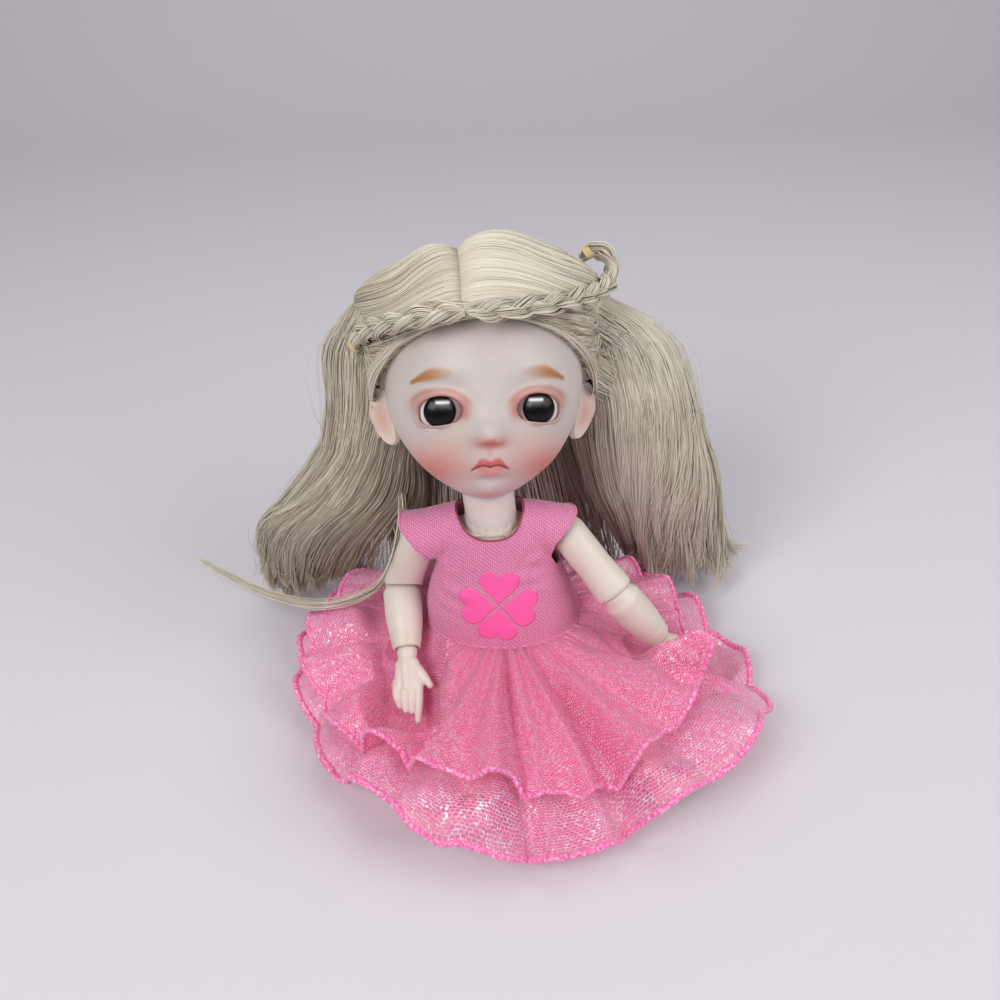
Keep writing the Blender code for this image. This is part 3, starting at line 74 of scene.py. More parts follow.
# Places taken from the frame
NECK = Vector(JOINTS["neck_nod"]["pos_m"])
SHOULDER, ELBOW, WRIST = both("shoulder_swing"), both("elbow_bend"), both("wrist_bend")
HIP, KNEE, ANKLE = both("hip_flex"), both("knee_bend"), both("ankle_bend")
HEAD_ABOVE_NECK = 0.0228
HEAD_TURN = (
    Matrix.Rotation(math.radians(3.5), 4, "Z")
    @ Matrix.Rotation(math.radians(2.4), 4, "Y")
    @ Matrix.Rotation(math.radians(-25), 4, "X")
)
HEAD_PLACE = Matrix.Translation(NECK + HEAD_TURN @ Vector((0, 0, HEAD_ABOVE_NECK))) @ HEAD_TURN

# The head's half sizes, as the frame has them, in its own upright frame
HEAD_WIDE = 0.0230
HEAD_FRONT = 0.0215
HEAD_BACK = 0.0250
HEAD_TOP = 0.0290
HEAD_BOTTOM = 0.0278


# Small helpers


def linked(name, mesh):
    obj = bpy.data.objects.new(name, mesh)
    bpy.context.scene.collection.objects.link(obj)
    return obj


def smooth_shaded(obj):
    obj.data.polygons.foreach_set("use_smooth", [True] * len(obj.data.polygons))
    return obj


@contextmanager
def editing(obj):
    """The mesh of obj for editing, written back at the end."""
    bm = bmesh.new()
    bm.from_mesh(obj.data)
    yield bm
    bm.to_mesh(obj.data)
    bm.free()


def tidy_normals(obj, weld=None):
    """Turns all faces outwards, and joins points closer than weld metres."""
    with editing(obj) as bm:
        if weld:
            bmesh.ops.remove_doubles(bm, verts=bm.verts, dist=weld)
        bmesh.ops.recalc_face_normals(bm, faces=bm.faces)
    return smooth_shaded(obj)


def drop(obj):
    data = obj.data
    bpy.data.objects.remove(obj, do_unlink=True)
    bpy.data.meshes.remove(data)


def modified(obj, kind, **settings):
    """Adds a modifier and makes its result the mesh."""
    modifier = obj.modifiers.new(kind.lower(), kind)
    for key, value in settings.items():
        setattr(modifier, key, value)
    graph = bpy.context.evaluated_depsgraph_get()
    mesh = bpy.data.meshes.new_from_object(obj.evaluated_get(graph))
    obj.modifiers.clear()
    old = obj.data
    obj.data = mesh
    bpy.data.meshes.remove(old)
    return obj


def vertex_array(obj, what="co"):
    out = np.empty(len(obj.data.vertices) * 3)
    obj.data.vertices.foreach_get(what, out)
    return out.reshape(-1, 3)


def around(count):
    """Even angles round a full circle."""
    return np.linspace(0, math.tau, count, endpoint=False)


def along_edge(points):
    """How far each point lies along its path."""
    return np.concatenate([[0], np.cumsum(np.linalg.norm(np.diff(points, axis=0), axis=1))])


def unit(v):
    v = np.asarray(v, float)
    return v / np.linalg.norm(v, axis=-1, keepdims=True)


def quads(rows, across, closed=True):
    """Faces between neighbouring rows of points; closed also joins each row's ends."""
    last = across if closed else across - 1
    i, j = np.meshgrid(np.arange(rows - 1), np.arange(last), indexing="ij")
    a = i * across + j
    b = i * across + (j + 1) % across
    return np.stack([a, b, b + across, a + across], -1).reshape(-1, 4)


def end_faces(rows, across):
    return [list(range(across))[::-1], list(range((rows - 1) * across, rows * across))]


def new_mesh(name, verts, faces):
    mesh = bpy.data.meshes.new(name)
    mesh.from_pydata([tuple(v) for v in verts], [], [tuple(f) for f in faces])
    mesh.update()
    return smooth_shaded(linked(name, mesh))


def grid_mesh(name, rows, closed=True, caps=False):
    """Rows of points joined into a skin; closed joins each row's ends, caps fills both ends."""
    rows = np.asarray(rows, float)
    count, across = rows.shape[:2]
    faces = quads(count, across, closed).tolist()
    return new_mesh(name, rows.reshape(-1, 3), faces + end_faces(count, across) if caps else faces)


def set_tint(mesh, values):
    tint = mesh.attributes.new("tint", "FLOAT", "POINT")
    tint.data.foreach_set("value", values.astype(np.float32).ravel())


def tubes(name, paths, radii, sides=3, tint=None):
    """Many thin tubes in one mesh; paths is (strands, points, 3) and radii (strands, points)."""
    paths = np.asarray(paths, float)
    strands, points = paths.shape[:2]
    radii = np.broadcast_to(np.asarray(radii, float), (strands, points))
    ways = np.gradient(paths, axis=1)
    ways /= np.linalg.norm(ways, axis=2, keepdims=True) + 1e-12
    one = np.empty_like(ways)
    last = np.cross(ways[:, 0], np.array([0.43, 0.37, 0.82]))
    for k in range(points):
        last = last - (last * ways[:, k]).sum(1, keepdims=True) * ways[:, k]
        last /= np.linalg.norm(last, axis=1, keepdims=True) + 1e-12
        one[:, k] = last
    two = np.cross(ways, one)
    turns = (np.arange(sides) * math.tau / sides)[:, None]
    ring = one[:, :, None] * np.cos(turns) + two[:, :, None] * np.sin(turns)
    verts = paths[:, :, None] + ring * radii[:, :, None, None]
    starts = np.arange(strands)[:, None, None] * points * sides
    faces = (starts + quads(points, sides)).reshape(-1, 4)
    mesh = bpy.data.meshes.new(name)
    mesh.vertices.add(verts.size // 3)
    mesh.vertices.foreach_set("co", verts.astype(np.float32).ravel())
    mesh.loops.add(faces.size)
    mesh.loops.foreach_set("vertex_index", faces.astype(np.int32).ravel())
    mesh.polygons.add(len(faces))
    mesh.polygons.foreach_set("loop_start", np.arange(0, faces.size, 4, dtype=np.int32))
    mesh.polygons.foreach_set("use_smooth", [True] * len(faces))
    mesh.update(calc_edges=True)
    if tint is not None:
        values = np.broadcast_to(np.asarray(tint, float).reshape(strands, -1), (strands, points))
        set_tint(mesh, np.repeat(values, sides, axis=1))
    return linked(name, mesh)


def curves(points, count):
    """Catmull-Rom curves through (strands, knots, 3) points, at count steps each."""
    p = np.asarray(points, float)
    p = np.concatenate([2 * p[:, :1] - p[:, 1:2], p, 2 * p[:, -1:] - p[:, -2:-1]], 1)
    t = np.linspace(0, p.shape[1] - 3 - 1e-6, count)
    i = t.astype(int)
    f = (t - i)[None, :, None]
    a, b, c, d = p[:, i], p[:, i + 1], p[:, i + 2], p[:, i + 3]
    cubic = (3 * b - a - 3 * c + d) * f**3
    return 0.5 * (2 * b + (c - a) * f + (2 * a - 5 * b + 4 * c - d) * f**2 + cubic)


def smooth_path(points, count):
    return curves(np.asarray(points, float)[None], count)[0]


def to_world(points, matrix=HEAD_PLACE):
    m = np.array(matrix)
    return np.asarray(points, float) @ m[:3, :3].T + m[:3, 3]


def bell(x, centre, width):
    return np.exp(-(((x - centre) / width) ** 2))


def step(x, low, high):
    t = np.clip((x - low) / (high - low), 0, 1)
    return t * t * (3 - 2 * t)


def srgb(r, g, b):
    """A colour read from 0 to 255 on a screen, as the linear value that a shader takes."""
    return tuple((c / 255) ** 2.2 for c in (r, g, b))


def blended(colour, tone, amount):
    """Colours (places, 3) moved towards a screen tone by an amount at each place."""
    return colour * (1 - amount[..., None]) + np.array(srgb(*tone)) * amount[..., None]


def paint_layer(obj, colour):
    """Stores colours on the points, where the painted materials find them."""
    data = np.ones((len(obj.data.vertices), 4), np.float32)
    data[:, :3] = colour.reshape(-1, 3)
    layer = obj.data.color_attributes.new("paint", "FLOAT_COLOR", "POINT")
    layer.data.foreach_set("color", data.ravel())


# Materials


def title(key):
    """The name that a shader's input carries for a keyword."""
    return key.replace("_", " ").title().replace("Ior", "IOR")


def shader(name, colour=(0.8, 0.8, 0.8), **settings):
    mat = bpy.data.materials.new(name)
    mat.use_nodes = True
    inputs = mat.node_tree.nodes["Principled BSDF"].inputs
    inputs["Base Color"].default_value = (*colour, 1)
    for key, value in settings.items():
        inputs[title(key)].default_value = value
    return mat


def add(mat, kind, sources=(), **settings):
    """A new node; settings are its options and fixed inputs, sources the outputs that drive it."""
    node = mat.node_tree.nodes.new(kind)
    for key, value in settings.items():
        if title(key) in node.inputs:
            node.inputs[title(key)].default_value = value
        else:
            setattr(node, key, value)
    for key, source in dict(sources).items():
        mat.node_tree.links.new(source, node.inputs[key])
    return node


def feed(mat, key, source):
    """Drives one input of the material's own shader."""
    mat.node_tree.links.new(source, mat.node_tree.nodes["Principled BSDF"].inputs[key])


def ramp(mat, source, stops):
    node = add(mat, "ShaderNodeValToRGB", {"Fac": source})
    elements = node.color_ramp.elements
    while len(elements) < len(stops):
        elements.new(0.5)
    for element, (place, colour) in zip(elements, stops):
        element.position = place
        element.color = (*colour, 1)
    return node.outputs["Color"]


def bump(mat, source, strength, distance):
    node = add(mat, "ShaderNodeBump", {"Height": source}, strength=strength, distance=distance)
    feed(mat, "Normal", node.outputs["Normal"])


def noise(mat, scale, detail):
    """Noise in the object's own coordinates, in metres."""
    place = add(mat, "ShaderNodeTexCoord").outputs["Object"]
    return add(mat, "ShaderNodeTexNoise", {"Vector": place}, scale=scale, detail=detail).outputs["Fac"]


def stored(mat, kind, output, **settings):
    return add(mat, kind, **settings).outputs[output]


SKIN = srgb(224, 216, 206)
SKIN_WARM = srgb(217, 205, 191)


def resin(name, roughness, depth):
    """Cast resin with a fine grain, which lets a little light in."""
    settings = {"subsurface_weight": depth, "subsurface_scale": 0.004, "subsurface_radius": (1.0, 0.6, 0.42)}
    mat = shader(name, SKIN, roughness=roughness, **settings)
    bump(mat, noise(mat, 2600, 2), 0.05, 0.0001)
    return mat


def skin_material():
    mat = resin("skin_resin", 0.42, 0.25)
    feed(mat, "Base Color", ramp(mat, noise(mat, 90, 2), [(0.3, SKIN_WARM), (0.7, SKIN)]))
    return mat


def painted_skin():
    """Skin whose blush, lips and brows come from the colours stored on the mesh."""
    mat = resin("painted_face", 0.46, 0.22)
    paint = stored(mat, "ShaderNodeVertexColor", "Color", layer_name="paint")
    grain = ramp(mat, noise(mat, 1500, 4), [(0.25, (0.93, 0.93, 0.93)), (0.75, (1, 1, 1))])
    pair = {"A": paint, "B": grain}
    mix = add(mat, "ShaderNodeMix", pair, data_type="RGBA", blend_type="MULTIPLY", factor=1.0)
    feed(mat, "Base Color", mix.outputs["Result"])
    return mat


def eye_material():
    """Iris, white and painted highlight from the colours on the mesh, under a clear coat like blown glass."""
    coat = {"coat_weight": 0.14, "coat_roughness": 0.02, "specular_ior_level": 0.15}
    mat = shader("eye_glass", (0.02, 0.02, 0.02), roughness=0.3, **coat)
    feed(mat, "Base Color", stored(mat, "ShaderNodeVertexColor", "Color", layer_name="paint"))
    return mat


HAIR_LIGHT = srgb(230, 224, 206)
HAIR_MID = srgb(204, 196, 176)
HAIR_DARK = srgb(168, 154, 130)
HAIR_ROOT_AND_SHADE = srgb(114, 94, 70)


def hair_material():
    """Ash blonde fibre: each strand has its own tint, which also carries painted shade and painted light,
    dark inside and pale outside.
    """
    mat = shader("blonde_hair", HAIR_MID, roughness=0.42, sheen_weight=0.1, specular_ior_level=0.35)
    tint = stored(mat, "ShaderNodeAttribute", "Fac", attribute_name="tint")
    stops = [(0.0, HAIR_ROOT_AND_SHADE), (0.3, HAIR_DARK), (0.62, HAIR_MID), (1.0, HAIR_LIGHT)]
    feed(mat, "Base Color", ramp(mat, tint, stops))
    return mat


def jersey_material():
    """Fine knit: narrow ribs crossed by slanting rows, broken up by fibre."""
    mat = shader("pink_jersey", srgb(244, 146, 192), roughness=0.85, sheen_weight=0.35)
    place = {"Vector": stored(mat, "ShaderNodeTexCoord", "Object")}
    wave = "ShaderNodeTexWave"
    ribs = add(mat, wave, place, bands_direction="X", scale=620, distortion=1.2)
    slant = {"bands_direction": "DIAGONAL", "scale": 480, "distortion": 3.0, "detail_scale": 2.5}
    rows = add(mat, wave, place, **slant)
    crossed = {0: ribs.outputs["Fac"], 1: rows.outputs["Fac"]}
    knit = add(mat, "ShaderNodeMath", crossed, operation="MULTIPLY").outputs["Value"]
    feed(mat, "Base Color", ramp(mat, knit, [(0.0, srgb(204, 114, 154)), (0.5, srgb(236, 152, 188))]))
    bump(mat, knit, 0.35, 0.0001)
    return mat


def hem_material():
    """The rolled hem: close-wound glitter thread."""
    mat = shader("hem_thread", srgb(244, 116, 176), roughness=0.5, sheen_weight=0.4)
    grain = noise(mat, 1500, 3)
    stops = [(0.32, srgb(226, 84, 148)), (0.55, srgb(250, 134, 188)), (0.72, srgb(255, 206, 228))]
    feed(mat, "Base Color", ramp(mat, grain, stops))
    bump(mat, grain, 0.5, 0.0003)
    return mat


def net_material():
    """Sheer glitter net: rows of pink thread with rungs between them, and holes that show through."""
    mat = shader("glitter_tulle", srgb(250, 96, 164), roughness=0.4, sheen_weight=0.3)
    uv = stored(mat, "ShaderNodeUVMap", "UV", uv_map="weave")
    sway = add(mat, "ShaderNodeTexNoise", {"Vector": uv}, scale=0.35, detail=3).outputs["Color"]
    shifted = add(mat, "ShaderNodeVectorMath", {0: sway, 2: uv}, operation="MULTIPLY_ADD")
    shifted.inputs[1].default_value = (4.0, 4.0, 4.0)
    apart = {"A": uv, "B": shifted.outputs["Vector"]}
    bent = add(mat, "ShaderNodeMix", apart, data_type="VECTOR", factor=0.35).outputs["Result"]
    mesh = {"brick_width": 1.0, "row_height": 0.66, "mortar_size": 0.155, "mortar_smooth": 0.7}
    net = add(mat, "ShaderNodeTexBrick", {"Vector": bent}, scale=1.0, **mesh).outputs["Fac"]
    flecks = add(mat, "ShaderNodeTexVoronoi", {"Vector": uv}, feature="F1", scale=1.5).outputs["Color"]
    pinks = [(0.25, srgb(255, 126, 178)), (0.70, srgb(255, 172, 208)), (0.90, srgb(255, 230, 238))]
    feed(mat, "Base Color", ramp(mat, flecks, pinks))
    feed(mat, "Metallic", ramp(mat, flecks, [(0.78, (0, 0, 0)), (0.92, (0.8, 0.8, 0.8))]))
    clear = add(mat, "ShaderNodeBsdfTransparent", color=(*srgb(255, 226, 236), 1))
    opening = ramp(mat, net, [(0.1, (0.26, 0.26, 0.26)), (0.6, (0.90, 0.90, 0.90))])
    nodes = mat.node_tree.nodes
    layers = {"Fac": opening, 1: clear.outputs["BSDF"], 2: nodes["Principled BSDF"].outputs["BSDF"]}
    mix = add(mat, "ShaderNodeMixShader", layers)
    mat.node_tree.links.new(mix.outputs["Shader"], nodes["Material Output"].inputs["Surface"])
    return mat


SKIN_MAT = skin_material()
FACE_MAT = painted_skin()
EYE_MAT = eye_material()
HAIR_MAT = hair_material()
JERSEY_MAT = jersey_material()
NET_MAT = net_material()
HEM_MAT = hem_material()
PRINT_MAT = shader("clover_print", srgb(255, 100, 172), roughness=0.5)
EDGE_MAT = shader("neck_edge", srgb(150, 70, 80), roughness=0.8)
WIRE_MAT = shader("steel_wire", (0.6, 0.6, 0.62), roughness=0.3, metallic=1.0)
BAND_MAT = shader("hair_band", srgb(222, 200, 140), roughness=0.45)
# Finishes for the pieces of the frame that stay as they are, inside the doll
HIDDEN_FINISHES = {
    "elastic": shader("white_elastic", (0.8, 0.8, 0.78), roughness=0.8),
    "hook": WIRE_MAT,
    "magnet": WIRE_MAT,
    "putty": shader("putty", (0.8, 0.78, 0.74), roughness=0.7),
    "wig_cap": shader("wig_net", srgb(176, 162, 136), roughness=0.8),
    "snap": shader("snap", (0.75, 0.75, 0.76), roughness=0.35),
}


def wear(obj, mat):
    obj.data.materials.clear()
    obj.data.materials.append(mat)
    return obj


def settle(obj, mat, slot, rides, *nodes):
    """Gives a piece its finish and motion, and names the frame's nodes that it replaces; slot is not used."""
    wear(obj, mat)
    if isinstance(rides, str):
        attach(obj, rides)
    else:
        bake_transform(obj, *rides)
    if nodes:
        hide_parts(*nodes)
    return obj


def dress_frame():
    for name, obj in frame["nodes"].items():
        for word, mat in HIDDEN_FINISHES.items():
            if word in name:
                wear(obj, mat)


# Head


def head_point(u, grow=0.0):
    """Places on the head's skin, in its own frame, for unit directions u."""
    down = np.maximum(0.0, -u[:, 2])
    depth = np.where(u[:, 1] < 0, HEAD_FRONT, HEAD_BACK) + grow
    height = np.where(u[:, 2] > 0, HEAD_TOP, HEAD_BOTTOM) + grow
    chin = np.where(u[:, 1] <= 0, -HEAD_FRONT * 0.12 * down**3, 0.0)
    return np.stack(
        [
            u[:, 0] * (HEAD_WIDE + grow) * (1 - 0.20 * down**3),
            u[:, 1] * depth * (1 - 0.10 * down**2) + chin * (1 - np.abs(u[:, 0])),
            u[:, 2] * height,
        ],
        1,
    )


# The face, in millimetres as seen from straight in front of the upright head
EYE_X = 10.6
EYE_Z = -5.2
EYE_HALF_WIDE = 4.7
EYE_UP = 3.35
EYE_DOWN = 2.95
EYEBALL_RADIUS = 5.8
EYEBALL_DEPTH = -13.8
LID_THICKNESS = 0.55
IRIS_RADIUS = 3.75
MOUTH_Z = -17.6
CHEEK = (11.5, -18.6)


def eye_reach(x, z):
    """1 on the lid's edge, under 1 in the opening; the lower lid rises towards the nose."""
    out = (np.abs(x) - EYE_X) / EYE_HALF_WIDE
    up = z - EYE_Z - 0.10 * -(np.abs(x) - EYE_X) * (z < EYE_Z)
    tall = np.where(up > 0, EYE_UP, EYE_DOWN)
    power = np.where(up > 0, 2.0, 3.0)
    return (np.abs(out) ** power + np.abs(up / tall) ** power) ** (1 / power)


def spot(side, z, place, width):
    """A soft round mark, 1 at its middle; place and width are pairs across and up the face."""
    return bell(side, place[0], width[0]) * bell(z, place[1], width[1])


# Height, middle and width of each form of the face, off the plain head
RELIEF = (
    (1.0, (CHEEK[0], CHEEK[1] + 2.5), (6.0, 5.5)),
    (1.1, (0, -8.2), (3.4, 5.0)),
    (1.2, (0, -11.0), (2.0, 1.9)),
    (0.45, (1.9, -11.7), (0.9, 0.9)),
    (-0.5, (0, -13.6), (2.6, 1.3)),
    (-0.18, (0, -14.6), (0.45, 1.3)),
    (1.0, (0, MOUTH_Z), (4.4, 2.9)),
    (0.55, (0, MOUTH_Z - 1.5), (2.2, 0.85)),
    (-0.45, (0, MOUTH_Z - 3.6), (3.4, 1.0)),
    (0.9, (0, -24.0), (4.2, 2.4)),
    (-0.7, (8.2, 0.6), (4.2, 2.4)),
    (0.35, (11.5, 3.6), (6.5, 2.0)),
)


def face_relief(x, z):
    """How far the skin stands out from the plain head, in millimetres."""
    side = np.abs(x)
    height = sum(amount * spot(side, z, place, width) for amount, place, width in RELIEF)
    height += 0.42 * bell(side, 1.3, 1.5) * bell(z, MOUTH_Z + 1.2 - 0.35 * side, 0.75)
    return height - 0.55 * bell(z, mouth_line(x), 0.32) * step(4.3 - side, 0, 1.0)


def mouth_line(x):
    """The height of the line between the lips: a small bow whose ends turn down."""
    side = np.abs(x)
    return MOUTH_Z + 0.35 - 0.5 * bell(side, 0, 0.8) - 1.5 * step(side, 1.4, 4.6)


def paint_face(x, y, z):
    """The colour of the skin and its paint at places on the face, in millimetres, with painted shade towards
    the hairline.
    """
    front = step(-y, 2.0, 8.0)
    side = np.abs(x)
    lumps = 0.5 * np.sin(x * 2.3 + 1.0) * np.sin(z * 1.9) + 0.3 * np.sin(x * 5.1) * np.sin(z * 4.3 + 2.0)
    colour = np.tile(np.array(srgb(204, 195, 187)), (len(x), 1))

    def lay(tone, amount):
        nonlocal colour
        colour = blended(colour, tone, np.clip(amount, 0, 1) * front)

    def dab(tone, amount, place, width):
        lay(tone, amount * spot(side, z, place, width))

    # Painted shade: the upper forehead is darkened, as under the hair.
    lay((176, 164, 152), 0.55 * step(z, 5.0, 15.0))
    dab((208, 118, 104), 0.84 * (1 + 0.10 * lumps), (12.2, -18.4), (5.8, 5.0))
    dab((220, 162, 148), 0.40, (8.5, -15.5), (6.5, 5.0))
    dab((196, 96, 88), 0.90, (0, -12.0), (3.4, 1.45))
    dab((222, 140, 134), 0.50, (0, -14.6), (0.7, 1.5))
    dab((222, 130, 112), 0.60, (0, -25.2), (3.2, 1.2))
    reach = eye_reach(x, z)
    above = step(z, EYE_Z - 2.2, EYE_Z + 1.8)
    lay((196, 120, 108), 0.66 * above * step(2.0 - reach, 0.0, 1.0) ** 1.3)
    lay((200, 130, 120), 0.30 * step(1.5 - reach, 0.0, 0.45))
    dab((184, 104, 96), 0.40, (EYE_X - 4.6, EYE_Z + 1.4), (1.5, 2.2))
    lay((168, 98, 84), 0.42 * bell(reach, 1.42, 0.12) * step(z, EYE_Z + 0.8, EYE_Z + 2.6))
    lay((116, 62, 48), 0.75 * bell(reach, 1.02, 0.07) * above)
    lay((178, 110, 98), 0.28 * bell(reach, 1.02, 0.06))
    dab((182, 92, 84), 0.45, (EYE_X - 5.3, EYE_Z - 0.6), (0.9, 1.3))
    along = (side - 7.0) / 9.6
    arch = 0.35 * np.sin(np.clip(along, 0, 1) * 2.4) - 3.6 * np.clip(along - 0.25, 0, 1) ** 1.8
    thick = 1.15 * step(along, -0.15, 0.35) * (1 - 0.72 * step(along, 0.5, 1.05)) + 0.10
    strokes = 0.92 + 0.08 * np.sin(side * 9.0 - z * 7.0)
    brow = step(1.55 - np.abs(z - 2.75 - arch) / thick, 0.0, 1.1)
    brow = brow * step(along, -0.08, 0.22) * step(1.06 - along, 0.0, 0.08)
    lay((184, 124, 66), 0.92 * brow * strokes * (0.40 + 0.60 * step(along, 0.1, 0.6)))
    lay((150, 88, 40), 0.55 * brow * step(along, 0.35, 0.85))
    line = mouth_line(x)
    lips = step(4.5 - side, 0.0, 0.7)
    top = MOUTH_Z + 2.2 - 0.4 * bell(side, 0, 0.7) - 3.1 * step(side, 1.7, 4.9)
    low = MOUTH_Z - 2.3 + 1.7 * step(side, 0.6, 4.4)
    lay((198, 64, 70), 0.86 * step(top - z, -0.2, 0.75) * step(z - line, -0.25, 0.1) * lips)
    lay((212, 112, 110), 0.66 * step(z - low, -0.5, 1.4) * step(line - z, -0.1, 0.25) * lips)
    dab((222, 130, 124), 0.35, (0, MOUTH_Z - 1.2), (3.6, 2.2))
    lay((112, 16, 26), 0.85 * bell(z, line, 0.24) * step(4.5 - side, 0.0, 0.8))
    return colour


HEAD_COLUMNS, HEAD_ROWS = 396, 250


def ball_depth(flat, radius):
    """How far back a ball at the eye's place lies, flat millimetres from its middle."""
    return EYEBALL_DEPTH - np.sqrt(np.maximum(radius**2 - flat**2, 0.0))


def make_head():
    """The head's skin, with finer rows over the face and both eyes opened into it."""
    turn = around(HEAD_COLUMNS)
    lift = math.pi * np.linspace(-0.5, 0.5, HEAD_ROWS)
    lift = lift - 0.16 * np.sin(2 * lift + 0.9)
    span = math.pi - 0.02
    lift = (lift - lift[0]) / (lift[-1] - lift[0]) * span - span / 2
    A, L = np.meshgrid(turn - 0.62 * np.sin(turn), lift)
    u = np.stack([np.sin(A) * np.cos(L), -np.cos(A) * np.cos(L), np.sin(L)], -1).reshape(-1, 3)
    p = head_point(u) / MM
    x, z = p[:, 0].copy(), p[:, 2].copy()
    way = unit(p / np.array([HEAD_WIDE, HEAD_FRONT, HEAD_TOP]) ** 2)
    way[:, 1] -= 0.6
    p += unit(way) * (face_relief(x, z) * step(-p[:, 1], 1.0, 7.0))[:, None]
    reach = eye_reach(x, z)
    lid = EYEBALL_RADIUS + LID_THICKNESS
    for sign in (-1, 1):
        eye_x = sign * EYE_X
        near = (x * sign > 0) & (p[:, 1] < -4)
        flat = np.hypot(p[:, 0] - eye_x, p[:, 2] - EYE_Z)
        over = np.maximum(p[:, 1] - ball_depth(flat, lid), 0.0)
        soft = over * step(np.where(z > EYE_Z, 1.9, 1.45) - reach, 0.0, 0.45)
        p[:, 1] -= np.where(near & (flat < lid), soft, 0.0)
        socket = bell(reach, 1.75, 0.32) * step(z, EYE_Z - 2.0, EYE_Z + 2.5)
        p[:, 1] += np.where(near, 0.35 * socket, 0.0)
        inside = near & (reach < 1.0)
        scale = 1 / np.maximum(reach[inside], 1e-3)
        off = np.stack([x[inside] - eye_x, z[inside] - EYE_Z], 1) * scale[:, None]
        depth = np.clip((1 - reach[inside]) / 0.35, 0, 1) * 1.1
        rim = ball_depth(np.hypot(off[:, 0], off[:, 1]), lid) + depth
        p[inside] = np.stack([eye_x + off[:, 0], rim, EYE_Z + off[:, 1]], 1)
    colour = paint_face(x, p[:, 1], z)
    # Painted shade on the lid's inner wall, deep in the eye opening.
    inner = (reach < 0.97) & (p[:, 1] < -8)
    colour[inner] = blended(colour[inner], (120, 60, 50), np.full(inner.sum(), 0.5))
    keep = ~((reach < 0.62) & (p[:, 1] < -8))
    faces = quads(HEAD_ROWS, HEAD_COLUMNS)
    faces = faces[keep[faces].all(1)].tolist() + end_faces(HEAD_ROWS, HEAD_COLUMNS)
    head = new_mesh("head_skin", to_world(p * MM), faces)
    paint_layer(head, colour)
    with editing(head) as bm:
        bmesh.ops.delete(bm, geom=[v for v in bm.verts if not v.link_faces], context="VERTS")
    settle(head, FACE_MAT, "skin_resin", "head", "head_shell", "head_cap")
    for side in SIDES:
        make_ear(side)
        make_eye(side)


EAR = {"tall": 13.0, "wide": 10.0, "thick": 3.6, "out": 23.3, "deep": 1.0, "level": -8.8}


def make_ear(side):
    """A small round ear that leans out from the head, with a rolled rim and a hollow inside."""
    sign = SIGN[side]
    T, R = np.meshgrid(around(64), np.linspace(0, 1, 40))
    dome = np.sin(R * math.pi / 2)
    back = EAR["thick"] / 2 * np.cos(R * math.pi / 2)
    outline = 1 + 0.10 * np.sin(T) - 0.06 * np.cos(2 * T)
    across = EAR["wide"] / 2 * np.cos(T) * dome * outline
    tall = EAR["tall"] / 2 * np.sin(T) * dome * outline
    bowl = -1.15 * bell(R, 0.0, 0.62) * (1 - 0.3 * bell(np.hypot(across + 1.4, tall - 0.5), 0, 1.8))
    front = np.stack([across, tall, back + 0.95 * bell(R, 0.80, 0.13) + bowl], -1)
    rear = np.stack([across, tall, -back], -1)
    a, t, f = np.moveaxis(np.concatenate([front, rear[::-1][1:]], 0), -1, 0)
    flare = math.radians(48)
    y = EAR["deep"] + a * math.cos(flare) - f * math.sin(flare)
    x = EAR["out"] + a * math.sin(flare) * 0.8 + f * math.cos(flare) + 0.30 * np.minimum(t, 0)
    local = np.stack([sign * x, y, EAR["level"] + t + 0.06 * a], -1)
    ear = tidy_normals(grid_mesh(f"ear_skin_{side}", to_world(local * MM)), weld=1e-5)
    middle = to_world(np.array([sign * EAR["out"], EAR["deep"], EAR["level"]]) * MM)
    far = np.linalg.norm(vertex_array(ear) - middle, axis=1) / MM
    plain = np.tile(np.array(srgb(232, 222, 210)), (len(far), 1))
    paint_layer(ear, blended(plain, (214, 156, 138), bell(far, 0, 4.4) * 0.8))
    settle(ear, FACE_MAT, "skin_resin", "head")


def make_eye(side):
    """A white ball with a raised dark iris under a clear, glossy coat, with a painted highlight and a painted
    glow on the iris.
    """
    sign = SIGN[side]
    T, F = np.meshgrid(around(96), np.linspace(0.004, math.pi - 0.004, 72))
    edge = IRIS_RADIUS / EYEBALL_RADIUS
    radius = EYEBALL_RADIUS + 0.28 * step(edge * 1.12 - F, 0.0, 0.22)
    local = np.stack([np.sin(F) * np.cos(T), -np.cos(F), np.sin(F) * np.sin(T)], -1) * radius[..., None]
    look = Matrix.Rotation(math.radians(1.5 * sign), 3, "Z")
    local = local @ np.array(look).T + np.array([sign * EYE_X, EYEBALL_DEPTH + 0.25, EYE_Z])
    eye = grid_mesh(f"eye_ball_{side}", to_world(local * MM), caps=True)
    # Painted glow: a lighter grey patch in the lower part of the iris.
    painted_glow = bell(np.cos(T + 1.2), 1, 0.8) * bell(F, 0.42, 0.2) * 0.2
    aside = local[..., 0] - sign * (EYE_X - 0.55)
    above = local[..., 2] - EYE_Z
    # Painted highlight: a thin white bar in the upper part of the iris, with a soft halo.
    painted_highlight = step(1.75 - np.abs(aside), 0.0, 0.4) * bell(above, 2.0, 0.30)
    painted_highlight = np.clip(painted_highlight + 0.16 * bell(aside, 0, 1.7) * bell(above, 1.5, 0.75), 0, 1)
    iris = step(edge - F, -0.01, 0.02)[..., None]
    dark = blended(np.array(srgb(8, 8, 10)), (44, 40, 44), painted_glow)
    colour = np.array(srgb(226, 218, 218)) * (1 - iris) + dark * iris
    paint_layer(eye, blended(colour, (236, 236, 238), painted_highlight))
    settle(eye, EYE_MAT, "eye_glass", "head", f"eye_{side}")


# Limbs

